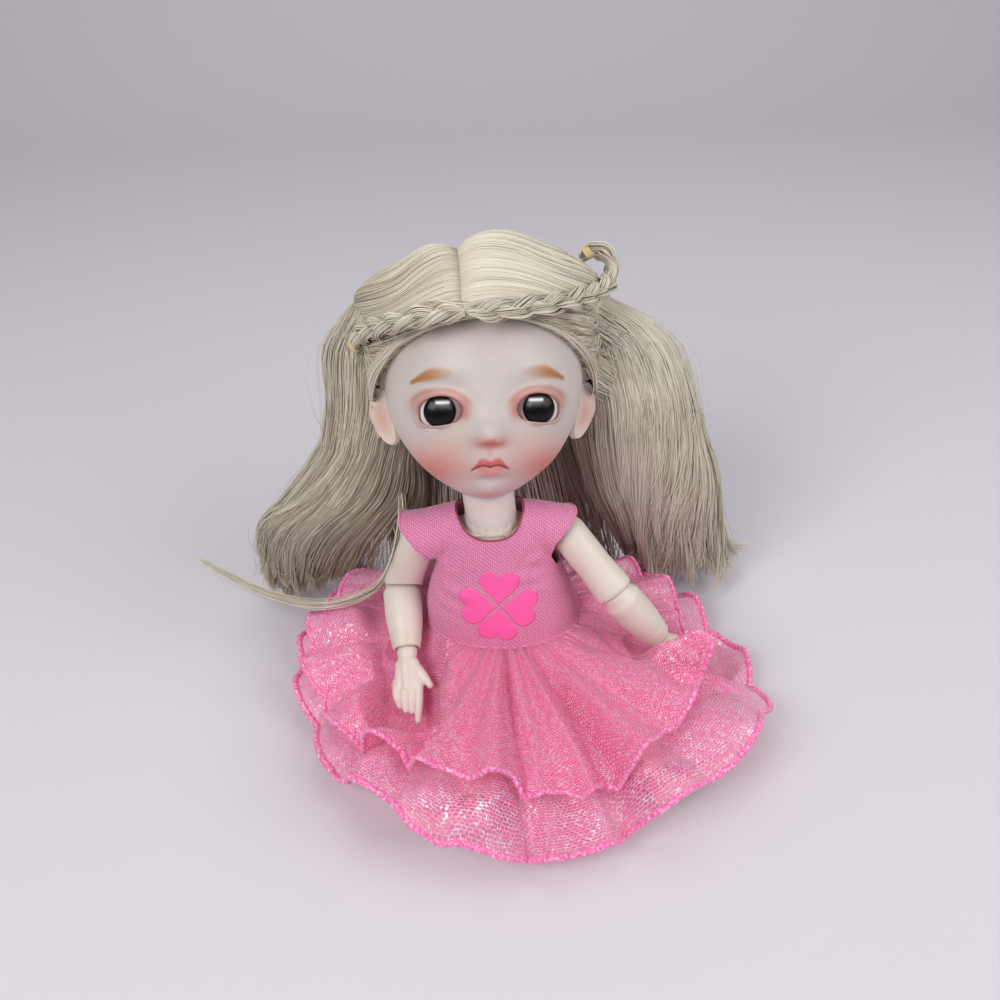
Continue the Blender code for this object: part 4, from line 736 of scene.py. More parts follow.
# The chest leans to the doll's right on its way up
LEAN = math.tan(math.radians(4))
HAND_WAYS = {"right": (-88, 27), "left": (7.8, 40.5)}
PALM_ACROSS = {"right": (1, 0.1, 0.35), "left": (0.25, -1, 0.2)}
THUMB_SIDE = {"right": 1, "left": -1}
FOOT_ROLL = {"right": 80, "left": 82}
HAND_LENGTH = 18.8
HEEL = 0.22
FOOT_LENGTH = 23.5


def frame_of(origin, along, side=(1, 0, 0)):
    """A placement at origin whose local Z runs along, with local X as near side as it can be."""
    z = Vector(along).normalized()
    if abs(Vector(side).normalized().dot(z)) > 0.95:
        side = (0, 1, 0)
    x = (Vector(side) - Vector(side).dot(z) * z).normalized()
    turn = Matrix((x, z.cross(x), z)).transposed()
    return Matrix.Translation(origin) @ turn.to_4x4()


def direction(azimuth, drop):
    azimuth, drop = math.radians(azimuth), math.radians(drop)
    level = math.cos(drop)
    return Vector((level * math.cos(azimuth), level * math.sin(azimuth), -math.sin(drop)))


def fine_profile(points, gap=0.35):
    """Profile points in millimetres with more of them along each straight run."""
    out = [points[0]]
    for (r0, z0), (r1, z1) in zip(points, points[1:]):
        count = max(1, int(math.hypot(r1 - r0, z1 - z0) / gap))
        out += [(r0 + (r1 - r0) * k / count, z0 + (z1 - z0) * k / count) for k in range(1, count + 1)]
    return out


def round_profile(points, passes=3):
    """The same profile with its corners eased; its two ends stay on the axis."""
    p = np.array(fine_profile(points), float)
    for _ in range(passes):
        p[1:-1] = (p[:-2] + 2 * p[1:-1] + p[2:]) / 4
    return p


def revolve(name, points, placement, count=72):
    """A closed solid turned about local Z from a profile in millimetres, both ends on the axis."""
    p = round_profile(points)[1:-1]
    turn = around(count)
    rows = np.stack([p[:, :1] * np.cos(turn), p[:, :1] * np.sin(turn), np.repeat(p[:, 1:], count, 1)], -1)
    return tidy_normals(grid_mesh(name, to_world(rows * MM, placement), caps=True))


def sphere_arc(radius, start, end, centre=0.0, count=10):
    """Profile points on a ball, angles in degrees up from the horizontal."""
    out = []
    for k in range(count + 1):
        a = math.radians(start + (end - start) * k / count)
        out.append((radius * math.cos(a), centre + radius * math.sin(a)))
    return out


def ring_points(place, way, radius, angles):
    """Places round a circle of radius millimetres that faces along way."""
    ring = frame_of(place, way)
    return [ring @ Vector((radius * MM * math.cos(a), radius * MM * math.sin(a), 0)) for a in angles]


def hull_of(name, pivot, ways, stops):
    """The room that a round rod sweeps as it leaves pivot in any of these ways."""
    obj = linked(name, bpy.data.meshes.new(name))
    with editing(obj) as bm:
        for way in ways:
            for distance, radius in stops:
                for point in ring_points(pivot + way * distance * MM, way, radius, around(24)):
                    bm.verts.new(point)
        hull = bmesh.ops.convex_hull(bm, input=bm.verts)
        inner = hull["geom_interior"] + hull["geom_unused"]
        spare = {v for v in inner if isinstance(v, bmesh.types.BMVert)}
        bmesh.ops.delete(bm, geom=list(spare), context="VERTS")
        bmesh.ops.recalc_face_normals(bm, faces=bm.faces)
    return obj


def carve(obj, tool):
    """Cuts with a tool at once, and drops the tool."""
    modified(obj, "BOOLEAN", operation="DIFFERENCE", solver="EXACT", object=tool)
    drop(tool)
    return smooth_shaded(obj)


def turned_ways(way, axis, angles):
    return [Matrix.Rotation(math.radians(a), 3, axis) @ Vector(way) for a in angles]


def remeshed(name, parts, voxel, smooth):
    """One skin round several overlapping solids."""
    obj = linked(name, bpy.data.meshes.new(name))
    with editing(obj) as bm:
        for part in parts:
            bm.from_mesh(part.data)
            drop(part)
    modified(obj, "REMESH", mode="VOXEL", voxel_size=voxel)
    modified(obj, "SMOOTH", iterations=smooth, factor=0.5)
    return smooth_shaded(obj)


def capsule(points, radii, count=18):
    """A rounded tube through points, in metres, with its own radius in millimetres at each."""
    path = smooth_path(points, 14)
    sizes = np.interp(np.linspace(0, 1, 14), np.linspace(0, 1, len(radii)), radii)
    ways = [Vector(way).normalized() for way in np.gradient(path, axis=0)]

    def cap(end, sign, angles):
        out = []
        for a in angles:
            place = path[end] + np.array(ways[end]) * (sign * sizes[end] * math.cos(a)) * MM
            out.append((place, max(sizes[end] * math.sin(a), 0.02), ways[end]))
        return out

    eighths = [math.pi / 8 * k for k in range(5)]
    rows = cap(0, -1, eighths[:4]) + list(zip(path, sizes, ways)) + cap(-1, 1, eighths[:0:-1])
    rings = [ring_points(Vector(place), way, size, around(count)) for place, size, way in rows]
    return tidy_normals(grid_mesh("capsule", rings, caps=True))


# Palm and wrist of a hand, as runs and their radii: across the palm, out of it, along the fingers
PALM = (
    (((0, 0, -0.2), (0, 0, 0.3)), (2.6, 2.6)),
    (((0, 0, 1.0), (0, 0, 4.0)), (2.3, 2.4)),
    (((-1.4, 0, 3.2), (-2.1, 0.1, 8.6)), (1.8, 1.6)),
    (((0, 0, 3.2), (0, 0, 9.0)), (2.2, 1.9)),
    (((1.4, 0, 3.2), (2.1, 0.1, 8.8)), (1.8, 1.6)),
)
# Share of the hand's length that each finger reaches, and how far it dips
FINGERS = ((1.0, 0.0), (0.86, -0.6), (0.83, -0.9), (0.76, -1.2))
KNUCKLE = 7.6


def make_hand(side):
    place = frame_of(WRIST[side], direction(*HAND_WAYS[side]), PALM_ACROSS[side])
    inner = THUMB_SIDE[side]
    runs = list(PALM)
    for index, (reach, dip) in enumerate(FINGERS):
        x = inner * (1.5 - index) * 1.85
        tip = HAND_LENGTH * reach
        middle = (x * 1.02, 0.25, KNUCKLE + (tip - KNUCKLE) * 0.5)
        runs.append((((x, 0, KNUCKLE), middle, (x * 0.9, dip * 0.5, tip - 0.9)), (1.35, 1.18, 0.86)))
    thumb = ((inner * 1.6, 0, 3.6), (inner * 4.0, -0.2, 6.6), (inner * 5.8, -0.5, 9.3))
    runs.append((thumb, (1.5, 1.28, 0.85)))
    parts = [capsule([tuple(place @ (Vector(p) * MM)) for p in run], radii) for run, radii in runs]
    hand = remeshed(f"hand_skin_{side}", parts, 0.00023, 5)
    settle(hand, SKIN_MAT, "skin_resin", f"hand_{side}", f"hand_{side}")


# Ankle, heel and sole of a foot, as runs and their radii: ahead of the ankle, sideways, down
SOLE = (
    (((0, 0, -0.4), (0, 0, 0.3)), (3.1, 3.1)),
    (((3.4 - HEEL * FOOT_LENGTH, 0, 2.9), (4.4 - HEEL * FOOT_LENGTH, 0, 3.0)), (2.7, 2.8)),
    (((-1.0, 0, 1.6), (5.0, 0, 3.4), (11.0, 0, 4.2)), (3.0, 2.4, 1.6)),
    (((-1.0, -1.1, 3.3), (7.0, -2.0, 4.1), (12.5, -2.3, 4.4)), (2.3, 1.7, 1.4)),
    (((-1.0, 1.1, 3.3), (7.0, 2.0, 4.1), (12.0, 2.3, 4.4)), (2.3, 1.7, 1.4)),
)


def foot_ways(side):
    """The leg's own direction, and the way that the toes point."""
    sign = SIGN[side]
    way = (ANKLE[side] - HIP[side]).normalized()
    outward = Vector((-way.y * sign, way.x * sign, 0)).normalized()
    lift = (Vector((0, 0, 1)) - way * way.z).normalized()
    roll = math.radians(FOOT_ROLL[side])
    return way, (math.cos(roll) * lift + math.sin(roll) * outward).normalized()


def make_foot(side):
    way, toes = foot_ways(side)
    across = toes.cross(way).normalized()
    runs = list(SOLE)
    for index in range(5):
        offset = (index - 2) * 1.65 * SIGN[side]
        reach = 17.4 - 0.55 * index - 0.1 * index**2
        size = 1.15 if index == 0 else 0.85
        runs.append((((11.0, offset * 0.92, 4.5), (reach - size, offset, 4.9)), (1.3, size)))
    parts = []
    for run, radii in runs:
        points = [tuple(ANKLE[side] + (toes * a + across * b + way * c) * MM) for a, b, c in run]
        parts.append(capsule(points, radii))
    foot = remeshed(f"foot_skin_{side}", parts, 0.00026, 6)
    settle(foot, SKIN_MAT, "skin_resin", f"foot_{side}", f"foot_{side}")


LIP = 0.75
PLAY = 0.32


def limb_pair(side, names, places, bend, sizes):
    """Two turned limbs that meet at a ball: the upper one is hollowed for it and cut clear."""
    top, middle, end = (place[side] for place in places)
    ball, neck, ring, shaft, ball_two, ring_two, shaft_two, ring_end, ball_end = sizes
    up_way = (middle - top).normalized()
    low_way = (end - middle).normalized()
    up_long = (middle - top).length / MM
    low_long = (end - middle).length / MM
    rim = ball_two + PLAY
    profile = sphere_arc(ball, -90, math.degrees(math.acos(min(1.0, neck / ball))))
    if neck < ball:
        profile += [(shaft * 0.86, ball * 0.92), (shaft * 0.96, ball * 1.15)]
    profile += [(shaft, up_long * 0.38), (shaft * 0.985, up_long * 0.55), (ring * 0.97, up_long * 0.80)]
    for share, back in ((1, 1.4), (0.99, 0.5), (0.93, 0)):
        profile.append((ring * share, up_long - LIP - back))
    profile += sphere_arc(rim, -math.degrees(math.asin(LIP / rim)), -90, up_long, 8)
    upper = revolve(f"{names[0]}_skin_{side}", profile, frame_of(top, up_way))
    joint = JOINTS[f"{bend}_{side}"]
    angles = np.linspace(*joint["range_deg"], 8)
    ways = turned_ways(low_way, Vector(joint["axis"]).normalized(), angles)
    stops = ((LIP - 0.45, ring_two + 0.25), (2.4, shaft_two + 0.35), (low_long * 0.55, shaft_two + 0.35))
    for pair in zip(ways, ways[1:]):
        carve(upper, hull_of("room", middle, pair, stops))
    thin = shaft_two * 0.93
    profile = sphere_arc(ball_two, -90, 4)
    profile += [(ring_two * 0.93, 0.80), (ring_two * 0.99, 1.2), (ring_two, 2.0)]
    profile += [(shaft_two, low_long * 0.38), (thin, low_long * 0.6)]
    if names[0] == "upper_arm":
        here = thin + (ring_end - thin) * (0.74 - 0.6) / (0.95 - 0.6)
        groove = low_long * 0.74
        profile += [(here, groove - 0.35), (here - 0.28, groove), (here, groove + 0.35)]
    for share, back in ((1, 1.8), (0.97, 1.0), (0.9, LIP)):
        profile.append((ring_end * share, low_long - back))
    cup = ball_end + PLAY
    profile += sphere_arc(cup, -math.degrees(math.asin(LIP / cup)), -90, low_long, 8)
    lower = revolve(f"{names[1]}_skin_{side}", profile, frame_of(middle, low_way))
    for obj, name, degrees in zip((upper, lower), names, (38, 50)):
        settle(obj, SKIN_MAT, "skin_resin", f"{name}_{side}", f"{name}_{side}")
        obj.data.set_sharp_from_angle(angle=math.radians(degrees))


ARM_SIZES = (4.6, 4.6, 5.0, 4.55, 4.1, 4.95, 4.9, 3.65, 2.8)
LEG_SIZES = (6.6, 5.2, 5.9, 6.7, 5.0, 5.9, 6.0, 4.3, 3.3)


def make_limbs():
    for side in SIDES:
        arm, leg = (SHOULDER, ELBOW, WRIST), (HIP, KNEE, ANKLE)
        limb_pair(side, ("upper_arm", "forearm"), arm, "elbow_bend", ARM_SIZES)
        limb_pair(side, ("thigh", "shin"), leg, "knee_bend", LEG_SIZES)
        make_hand(side)
        make_foot(side)
    make_neck()


def make_neck():
    """The smooth neck and its ball, over the torso's own."""
    profile = [(0.01, -19.0), (7.2, -19.0), (6.9, -17.2), (6.35, -14.0), (6.22, -10.0), (6.22, -7.0)]
    profile += [(6.26, -3.2)] + sphere_arc(6.86, -20, 90)
    neck = revolve("neck_skin", profile, Matrix.Translation(NECK))
    for vert in neck.data.vertices:
        vert.co.x += max(0.0, NECK.z - vert.co.z) * LEAN
    settle(neck, SKIN_MAT, "skin_resin", "torso")


# Dress

HEM_LEVEL = 17.8
COLLAR_LEVEL = 50.5
BODICE_HALF = 20.0
BODICE_DEEP = 13.5
BODICE_SHARES = (
    (0.00, 1.00, 1.00),
    (0.18, 0.97, 0.96),
    (0.38, 0.87, 0.86),
    (0.56, 0.77, 0.75),
    (0.743, 0.765, 0.67),
    (0.87, 0.71, 0.61),
    (0.955, 0.53, 0.58),
    (1.00, 0.455, 0.61),
)
CLOTH = 0.42
CAP_START = 12.4


def bodice_size(height):
    """Half width and half depth of the bodice at heights in millimetres."""
    share = np.clip((np.asarray(height) - HEM_LEVEL) / (COLLAR_LEVEL - HEM_LEVEL), 0, 1)
    at = [row[0] for row in BODICE_SHARES]
    wide = np.interp(share, at, [row[1] for row in BODICE_SHARES])
    deep = np.interp(share, at, [row[2] for row in BODICE_SHARES])
    return wide * BODICE_HALF, deep * BODICE_DEEP


def cut_away(obj, field):
    """Trims obj along the zero line of field(points in millimetres); positive parts go."""
    bm = bmesh.new()
    bm.from_mesh(obj.data)
    value = bm.verts.layers.float.new("value")
    places = np.array([v.co for v in bm.verts]) / MM
    for vert, amount in zip(bm.verts, field(places)):
        vert[value] = float(amount) if abs(amount) > 1e-5 else 1e-5
    crossed = [e for e in bm.edges if e.verts[0][value] * e.verts[1][value] < 0]
    for edge in crossed:
        start, end = edge.verts
        share = start[value] / (start[value] - end[value])
        _, middle = bmesh.utils.edge_split(edge, start, share)
        middle[value] = 0.0
    for face in list(bm.faces):
        on_line = [v for v in face.verts if v[value] == 0.0]
        if len(on_line) == 2:
            bmesh.utils.face_split(face, on_line[0], on_line[1])
    spare = [f for f in bm.faces if max((v[value] for v in f.verts), key=abs) > 0]
    bmesh.ops.delete(bm, geom=spare, context="FACES")
    bm.verts.layers.float.remove(value)
    bm.to_mesh(obj.data)
    bm.free()
    return obj


def softest(first, second, ease):
    """The lower of two fields, rounded where they meet."""
    near = np.clip(0.5 + 0.5 * (second - first) / ease, 0, 1)
    return second * (1 - near) + first * near - ease * near * (1 - near)


def copy_of(obj, name):
    twin = obj.copy()
    twin.data = obj.data.copy()
    twin.name = name
    bpy.context.scene.collection.objects.link(twin)
    return twin


def set_vertices(obj, points):
    obj.data.vertices.foreach_set("co", np.asarray(points, np.float32).ravel())
    obj.data.update()


def creased(points):
    """The folds that the jersey takes at the arms and over the waist, as shifts in millimetres."""
    p = points / MM
    x = p[:, 0] + p[:, 2] * LEAN
    z = p[:, 2]
    out = np.zeros(len(p))
    folds = (
        (13.5, 33.5, 3.0, 37.5, 1.5, 0.55),
        (15.0, 30.0, 7.0, 33.5, 1.3, 0.38),
        (-14.5, 34.5, -6.0, 32.5, 1.4, 0.42),
        (-16.5, 30.0, -10.0, 28.5, 1.3, 0.30),
        (-14.0, 41.0, -8.0, 37.0, 1.3, 0.28),
        (12.0, 41.5, 7.0, 38.5, 1.2, 0.32),
    )
    for x0, z0, x1, z1, width, height in folds:
        run = np.array([x1 - x0, z1 - z0])
        long = np.hypot(*run)
        share = ((x - x0) * run[0] + (z - z0) * run[1]) / long**2
        away = ((x - x0) * run[1] - (z - z0) * run[0]) / long
        fade = step(share, -0.12, 0.25) * step(1.12 - share, 0.0, 0.5)
        bent = away - 1.0 * np.sin(np.clip(share, 0, 1) * math.pi)
        out += height * fade * (bell(bent, 0, width) - 0.7 * bell(bent, 1.9 * width, width))
    out += 0.12 * np.sin(x * 0.5 + 1.0) * np.sin(z * 0.38 + 0.4)
    return out


def edge_loop(obj, test):
    """The points of obj's open edges where test(point) holds, in order round the opening."""
    bm = bmesh.new()
    bm.from_mesh(obj.data)
    links = {}
    for edge in bm.edges:
        if edge.is_boundary and test(edge.verts[0].co) and test(edge.verts[1].co):
            a, b = edge.verts[0].index, edge.verts[1].index
            links.setdefault(a, []).append(b)
            links.setdefault(b, []).append(a)
    places = {v.index: np.array(v.co) for v in bm.verts if v.index in links}
    bm.free()
    best = []
    unseen = set(links)
    while unseen:
        start = next((i for i in unseen if len(links[i]) == 1), next(iter(unseen)))
        chain = [start]
        unseen.discard(start)
        while True:
            ahead = [i for i in links[chain[-1]] if i in unseen]
            if not ahead:
                break
            chain.append(ahead[0])
            unseen.discard(ahead[0])
        if len(chain) > len(best):
            best = chain
    closed = len(best) > 2 and best[0] in links[best[-1]]
    return np.array([places[i] for i in best]), closed


def edge_cord(name, points, closed, radius, mat, slot, count=300, ridges=0, sides=10):
    """A thin rolled edge or seam along an opening; ridges makes it look wound."""
    points = np.asarray(points)
    if closed:
        points = np.vstack([points, points[:1]])
    along = along_edge(points)
    even = np.linspace(0, along[-1], count)
    path = np.stack([np.interp(even, along, points[:, k]) for k in range(3)], 1)
    for _ in range(4):
        inner = (path[:-2] + path[1:-1] * 2 + path[2:]) / 4
        path[1:-1] = inner
    radii = np.full(count, radius)
    if ridges:
        radii = radius * (0.74 + 0.26 * np.abs(np.sin(even / MM * math.pi / ridges)))
    obj = tubes(name, path[None], radii[None], sides=sides)
    return wear(obj, mat)


ARMHOLES = {
    "right": ((34.0, -18.4), (38.0, -19.0), (43.0, -20.4), (47.0, -23.2), (49.8, -25.8)),
    "left": ((33.6, 15.0), (36.0, 12.2), (40.0, 10.6), (45.0, 11.6), (48.0, 14.0), (50.8, 17.6)),
}
UNDERARM = {"right": 34.2, "left": 33.8}
CAP_FLOOR = 35.6


def neck_field(points):
    """Positive inside the neckline."""
    x, y, z = points.T
    off = np.abs(x + z * LEAN + 0.1) / 10.2
    return z - (48.3 + 0.13 * (y + 8.0) + 7.0 * off**3)


def armhole_field(side):
    levels, reaches = np.array(ARMHOLES[side]).T

    def field(points):
        x, _, z = points.T
        return softest(SIGN[side] * (x - np.interp(z, levels, reaches)), z - UNDERARM[side], 2.0)

    return field


def cap_field(side):
    """Positive over the shoulder cap."""

    def field(points):
        x, _, z = points.T
        return np.minimum(SIGN[side] * (x + SHOULDER[side].z / MM * LEAN) - CAP_START, z - CAP_FLOOR)

    return field


def bodice_shell():
    """The jersey as one skin over the chest and both shoulders, before it is trimmed."""
    count, rows = 160, 60
    turn = around(count)
    rings = []
    for height in list(np.linspace(HEM_LEVEL - 2.5, COLLAR_LEVEL, rows)) + [COLLAR_LEVEL + 1.5, 54.5]:
        wide, deep = bodice_size(height) if height <= COLLAR_LEVEL else (8.1, 7.9)
        ring = (wide * np.cos(turn) - height * LEAN, deep * np.sin(turn), np.full(count, height))
        rings.append(np.stack(ring, 1) * MM)
    body = grid_mesh("bodice_body", rings, caps=True)
    tidy_normals(body)
    parts = [body]
    for side in SIDES:
        sign = SIGN[side]
        joint = np.array(SHOULDER[side]) / MM
        inner = np.array([-joint[2] * LEAN + sign * 7.0, 0.6, 47.2])
        over = np.array([joint[0] - sign * 0.5, 0.3, joint[2] + 0.9])
        outer = np.array([joint[0] + sign * 10.0, 0.0, joint[2] - 0.4])
        parts.append(capsule([tuple(p * MM) for p in (inner, over, outer)], [6.0, 6.5, 7.0], 48))
    return remeshed("bodice_cloth", parts, 0.00036, 10)


def make_bodice():
    cloth = bodice_shell()
    points = vertex_array(cloth)
    normals = vertex_array(cloth, "normal")
    shift = creased(points) * step(points[:, 2] / MM, HEM_LEVEL + 0.4, HEM_LEVEL + 4.0)
    set_vertices(cloth, points + normals * (shift * MM)[:, None])
    cut_away(cloth, lambda p: HEM_LEVEL - p[:, 2])
    cut_away(cloth, neck_field)
    for side in SIDES:
        cut_away(cloth, armhole_field(side))
    neck = edge_loop(cloth, lambda p: p.z > 0.0445 and abs(p.x - NECK.x) < 0.0125)
    hem = edge_loop(cloth, lambda p: p.z < (HEM_LEVEL + 0.5) * MM)
    holes, caps = {}, {}
    for side in SIDES:
        sign = SIGN[side]
        holes[side] = edge_loop(cloth, lambda p: sign * (p.x + 0.003) > 0.0095 and p.z > 0.0325)
        caps[side] = copy_of(cloth, f"sleeve_cloth_{side}")
    for side in SIDES:
        field = cap_field(side)
        cut_away(cloth, field)
        cut_away(caps[side], lambda p: -field(p))
    for obj in (cloth, caps["right"], caps["left"]):
        modified(obj, "SOLIDIFY", thickness=CLOTH * MM, offset=-1)
        wear(obj, JERSEY_MAT)
    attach(cloth, "torso")
    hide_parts("bodice")
    for side in SIDES:
        x = -SHOULDER[side].z * LEAN + SIGN[side] * CAP_START * MM
        level = SHOULDER[side].z
        span = ((x, 0, level), (x + SIGN[side] * 0.0062, 0, level))
        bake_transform(caps[side], "torso", f"shoulder_{side}", *span)
        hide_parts(f"sleeve_{side}")
        rim = edge_cord(f"armhole_edge_{side}", *holes[side], 0.00030, JERSEY_MAT, "pink_jersey", 260)
        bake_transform(rim, "torso", f"shoulder_{side}", *span)
    collar = edge_cord("neck_edge", *neck, 0.00024, EDGE_MAT, "pink_jersey", 320, ridges=0.7)
    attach(collar, "torso")
    bottom = edge_cord("bodice_hem", *hem, 0.00034, JERSEY_MAT, "pink_jersey", 400)
    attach(bottom, "torso")
    return cloth


# The clover print

CLOVER_X = -2.5
CLOVER_Z = 30.2
LEAF_LONG = 9.2
LEAF_HALF = 4.9
LEAF_GAP = 0.30
CLOVER_TURN = -4


def make_clover(cloth):
    """Four hearts laid on the jersey with their points together."""
    cloth.data.calc_loop_triangles()
    points = vertex_array(cloth)
    faces = [tuple(t.vertices) for t in cloth.data.loop_triangles]
    tree = BVHTree.FromPolygons([Vector(p) for p in points], faces)
    t = around(96)
    wide = np.sin(t) ** 3
    tall = (13 * np.cos(t) - 5 * np.cos(2 * t) - 2 * np.cos(3 * t) - np.cos(4 * t)) / 29
    tall = (tall - tall.min()) / (tall.max() - tall.min())
    verts, polys = [], []
    for leaf in range(4):
        angle = math.radians(CLOVER_TURN + 90 * leaf)
        tilt = (0.0, 0.12, 0.0, -0.10)[leaf]
        base = len(verts)
        rows = 14
        for k in range(rows + 1):
            share = k / rows
            a = LEAF_HALF * wide * share
            b = LEAF_GAP + LEAF_LONG * (0.52 + (tall - 0.52) * share)
            x = a * math.cos(angle + tilt) - b * math.sin(angle + tilt)
            z = a * math.sin(angle + tilt) + b * math.cos(angle + tilt)
            for px, pz in zip(x, z):
                place = Vector(((CLOVER_X + px) * MM, -0.03, (CLOVER_Z + pz) * MM))
                hit, normal, _, _ = tree.ray_cast(place, Vector((0, 1, 0)))
                if hit is None:
                    hit, normal = Vector((place.x, -0.01, place.z)), Vector((0, -1, 0))
                verts.append(hit + normal * 0.00012)
        count = len(t)
        for k in range(rows):
            for i in range(count):
                j = (i + 1) % count
                a, b = base + k * count + i, base + k * count + j
                polys.append((a, b, b + count, a + count))
    clover = new_mesh("clover_leaves", verts, polys)
    tidy_normals(clover, weld=1e-6)
    with editing(clover) as bm:
        if sum(f.normal.y for f in bm.faces) > 0:
            bmesh.ops.reverse_faces(bm, faces=bm.faces)
    modified(clover, "SOLIDIFY", thickness=0.00010, offset=-1)
    settle(clover, PRINT_MAT, "clover_print", "torso", "clover_print")


# Skirt, in millimetres

LAYER_SPACING = 1.4
WAIST_HALF = BODICE_HALF * 0.95
WAIST_DEEP = BODICE_DEEP * 0.95
SKIRT_TOP = HEM_LEVEL - 0.3 - 0.25
HEM_HEIGHT = 2.4
PUFF = 1.6
DRAPE_GAP = 1.0
DRAPE_WIDTH = 16.0
CREST_SHARE = 0.95
DIP_WIDTH = 7.0
DIP_RISE = 8.0
TULLE = 0.5


def near_segment(x, y, start, end):
    """The nearest share along a segment seen from above, and the distance from it."""
    run = np.array([end[0] - start[0], end[1] - start[1]])
    share = np.clip(((x - start[0]) * run[0] + (y - start[1]) * run[1]) / (run @ run), 0, 1)
    return share, np.hypot(x - start[0] - run[0] * share, y - start[1] - run[1] * share)


def leg_runs():
    runs = []
    for side in SIDES:
        hip, ankle = np.array(HIP[side]) / MM, np.array(ANKLE[side]) / MM
        toes = np.array(foot_ways(side)[1])
        runs.append((hip, ankle, 6.7))
        runs.append((ankle, ankle + toes * FOOT_LENGTH * (1 - HEEL), 5.0))
    return runs


def arm_runs():
    runs = []
    for side in SIDES:
        elbow, wrist = np.array(ELBOW[side]) / MM, np.array(WRIST[side]) / MM
        tip = wrist + np.array(direction(*HAND_WAYS[side])) * HAND_LENGTH
        runs.append((elbow, wrist, 4.9))
        runs.append((wrist, tip, 3.8))
    return runs


def skirt_base(x, y, share):
    """The lower layer's own height: sloping out from the waist, over the legs, under the hands."""
    top = SKIRT_TOP - LAYER_SPACING
    height = top + (HEM_HEIGHT - top) * share + PUFF * np.sin(math.pi * share)
    for start, end, radius in leg_runs():
        part, far = near_segment(x, y, start, end)
        crest = start[2] + (end[2] - start[2]) * part + radius + DRAPE_GAP + TULLE / 2
        past = np.clip((far - radius * CREST_SHARE) / DRAPE_WIDTH, 0, 1)
        height = np.maximum(height, crest * (0.5 + 0.5 * np.cos(math.pi * past)))
    for start, end, radius in arm_runs():
        part, far = near_segment(x, y, start, end)
        under = start[2] + (end[2] - start[2]) * part - radius - DRAPE_GAP - LAYER_SPACING - TULLE
        spare = np.maximum(0.0, far - radius) / DIP_WIDTH
        height = np.minimum(height, np.maximum(under, 0.6) + spare**2 * DIP_RISE)
    height = np.maximum(height, 0.6 + TULLE / 2)
    for start, end, radius in leg_runs():
        part, far = near_segment(x, y, start, end)
        room = radius + DRAPE_GAP + TULLE / 2
        middle = start[2] + (end[2] - start[2]) * part
        over = middle + np.sqrt(np.maximum(room**2 - far**2, 0.0))
        height = np.where(far < room, np.maximum(height, over), height)
    ease = np.minimum(1.0, share * 6)
    return height * ease + top * (1 - ease)


def arm_room(x, y):
    """0 under the arms and hands, 1 well away from them."""
    room = np.ones_like(x)
    for start, end, radius in arm_runs():
        _, far = near_segment(x, y, start, end)
        room = np.minimum(room, step(far, radius + 0.5, radius + 8.0))
    return room


# Hem outlines from straight behind the doll round by its left, front and right: degrees, reach
OUTLINES = {
    "lower": (
        (-270, 27), (-225, 40), (-200, 52), (-180, 55.5), (-165, 56), (-150, 57), (-136, 59.5),
        (-125, 63.5), (-114, 66), (-104, 67.5), (-96, 67.5), (-90, 67), (-81, 68), (-73, 67),
        (-63, 67), (-48, 70), (-34, 70), (-21, 68), (-12, 64), (-4, 59), (6, 54.5),
        (16, 51.5), (24, 47), (45, 36), (90, 27),
    ),
    "upper": (
        (-270, 24), (-225, 36), (-200, 47), (-180, 53), (-171, 54), (-157, 53.3), (-137, 53.8),
        (-120, 56), (-107, 58), (-92, 57), (-83, 57), (-69, 59), (-58, 59), (-45, 56),
        (-29, 52.5), (-15, 52), (-5, 49), (8, 44), (45, 32), (90, 24),
    ),
}
VALLEYS = (
    (-262, 0.5), (-235, 0.6), (-212, 0.6), (-192, 0.7), (-173, 0.8), (-152, 0.9), (-131, 0.9),
    (-114, 0.9), (-101, 0.55), (-90, 1.0), (-78, 0.5), (-66, 1.1), (-51, 0.7), (-33, 0.8),
    (-14, 0.9), (3, 0.8), (20, 0.7), (38, 0.6), (58, 0.6), (78, 0.5), (98, 0.5),
)


def hem_reach(azimuth, layer):
    """Reach of a layer's hem from the waist's centre, rounded between the listed directions."""
    angles, reaches = np.array(OUTLINES[layer]).T
    degrees = np.degrees(azimuth)
    total = 0
    for shift, share in ((-5, 0.25), (0, 0.5), (5, 0.25)):
        total = total + share * np.interp(degrees + shift, angles, reaches, period=360)
    return total


def ruffle(azimuth, shift=0.0):
    """Rounded folds with narrow valleys between them, 0 to 1, and where a place lies in its fold."""
    angles, depths = np.array(VALLEYS).T
    degrees = np.mod(np.degrees(azimuth) + shift + 262, 360) - 262
    index = np.clip(np.searchsorted(angles, degrees, side="right") - 1, 0, len(angles) - 2)
    low, high = angles[index], angles[index + 1]
    place = np.clip((degrees - low) / (high - low), 0, 1)
    depth = depths[index] + (depths[index + 1] - depths[index]) * place
    return 1 - depth * (1 - np.sin(math.pi * place) ** 0.75), place


FINE_PLEATS = [(37.0, 0.3, 0.5), (61.0, 1.1, 0.35), (83.0, 2.0, 0.2)]


def pleat(azimuth, waves, seed):
    """Uneven gathers, from 0 in a valley to about 1 on a crest."""
    total, weight = np.zeros_like(azimuth), 0.0
    for count, phase, amount in waves:
        turn = count * azimuth + phase + seed * 1.7 + 0.8 * np.sin(azimuth * 3 + phase * 2 + seed)
        total += amount * np.sin(turn + 0.45 * np.sin(turn))
        weight += amount
    return 0.5 + 0.5 * total / weight * 1.5


def hand_ruffle(x, y):
    """The fold of the upper layer that stands in front of the left hand."""
    share, far = near_segment(x, y, (30.0, -21.0), (56.0, -20.0))
    return 9.0 * np.exp(-((far / 5.5) ** 2)) * step(share, 0.0, 0.3) * (1 - 0.4 * step(share, 0.6, 1.0))


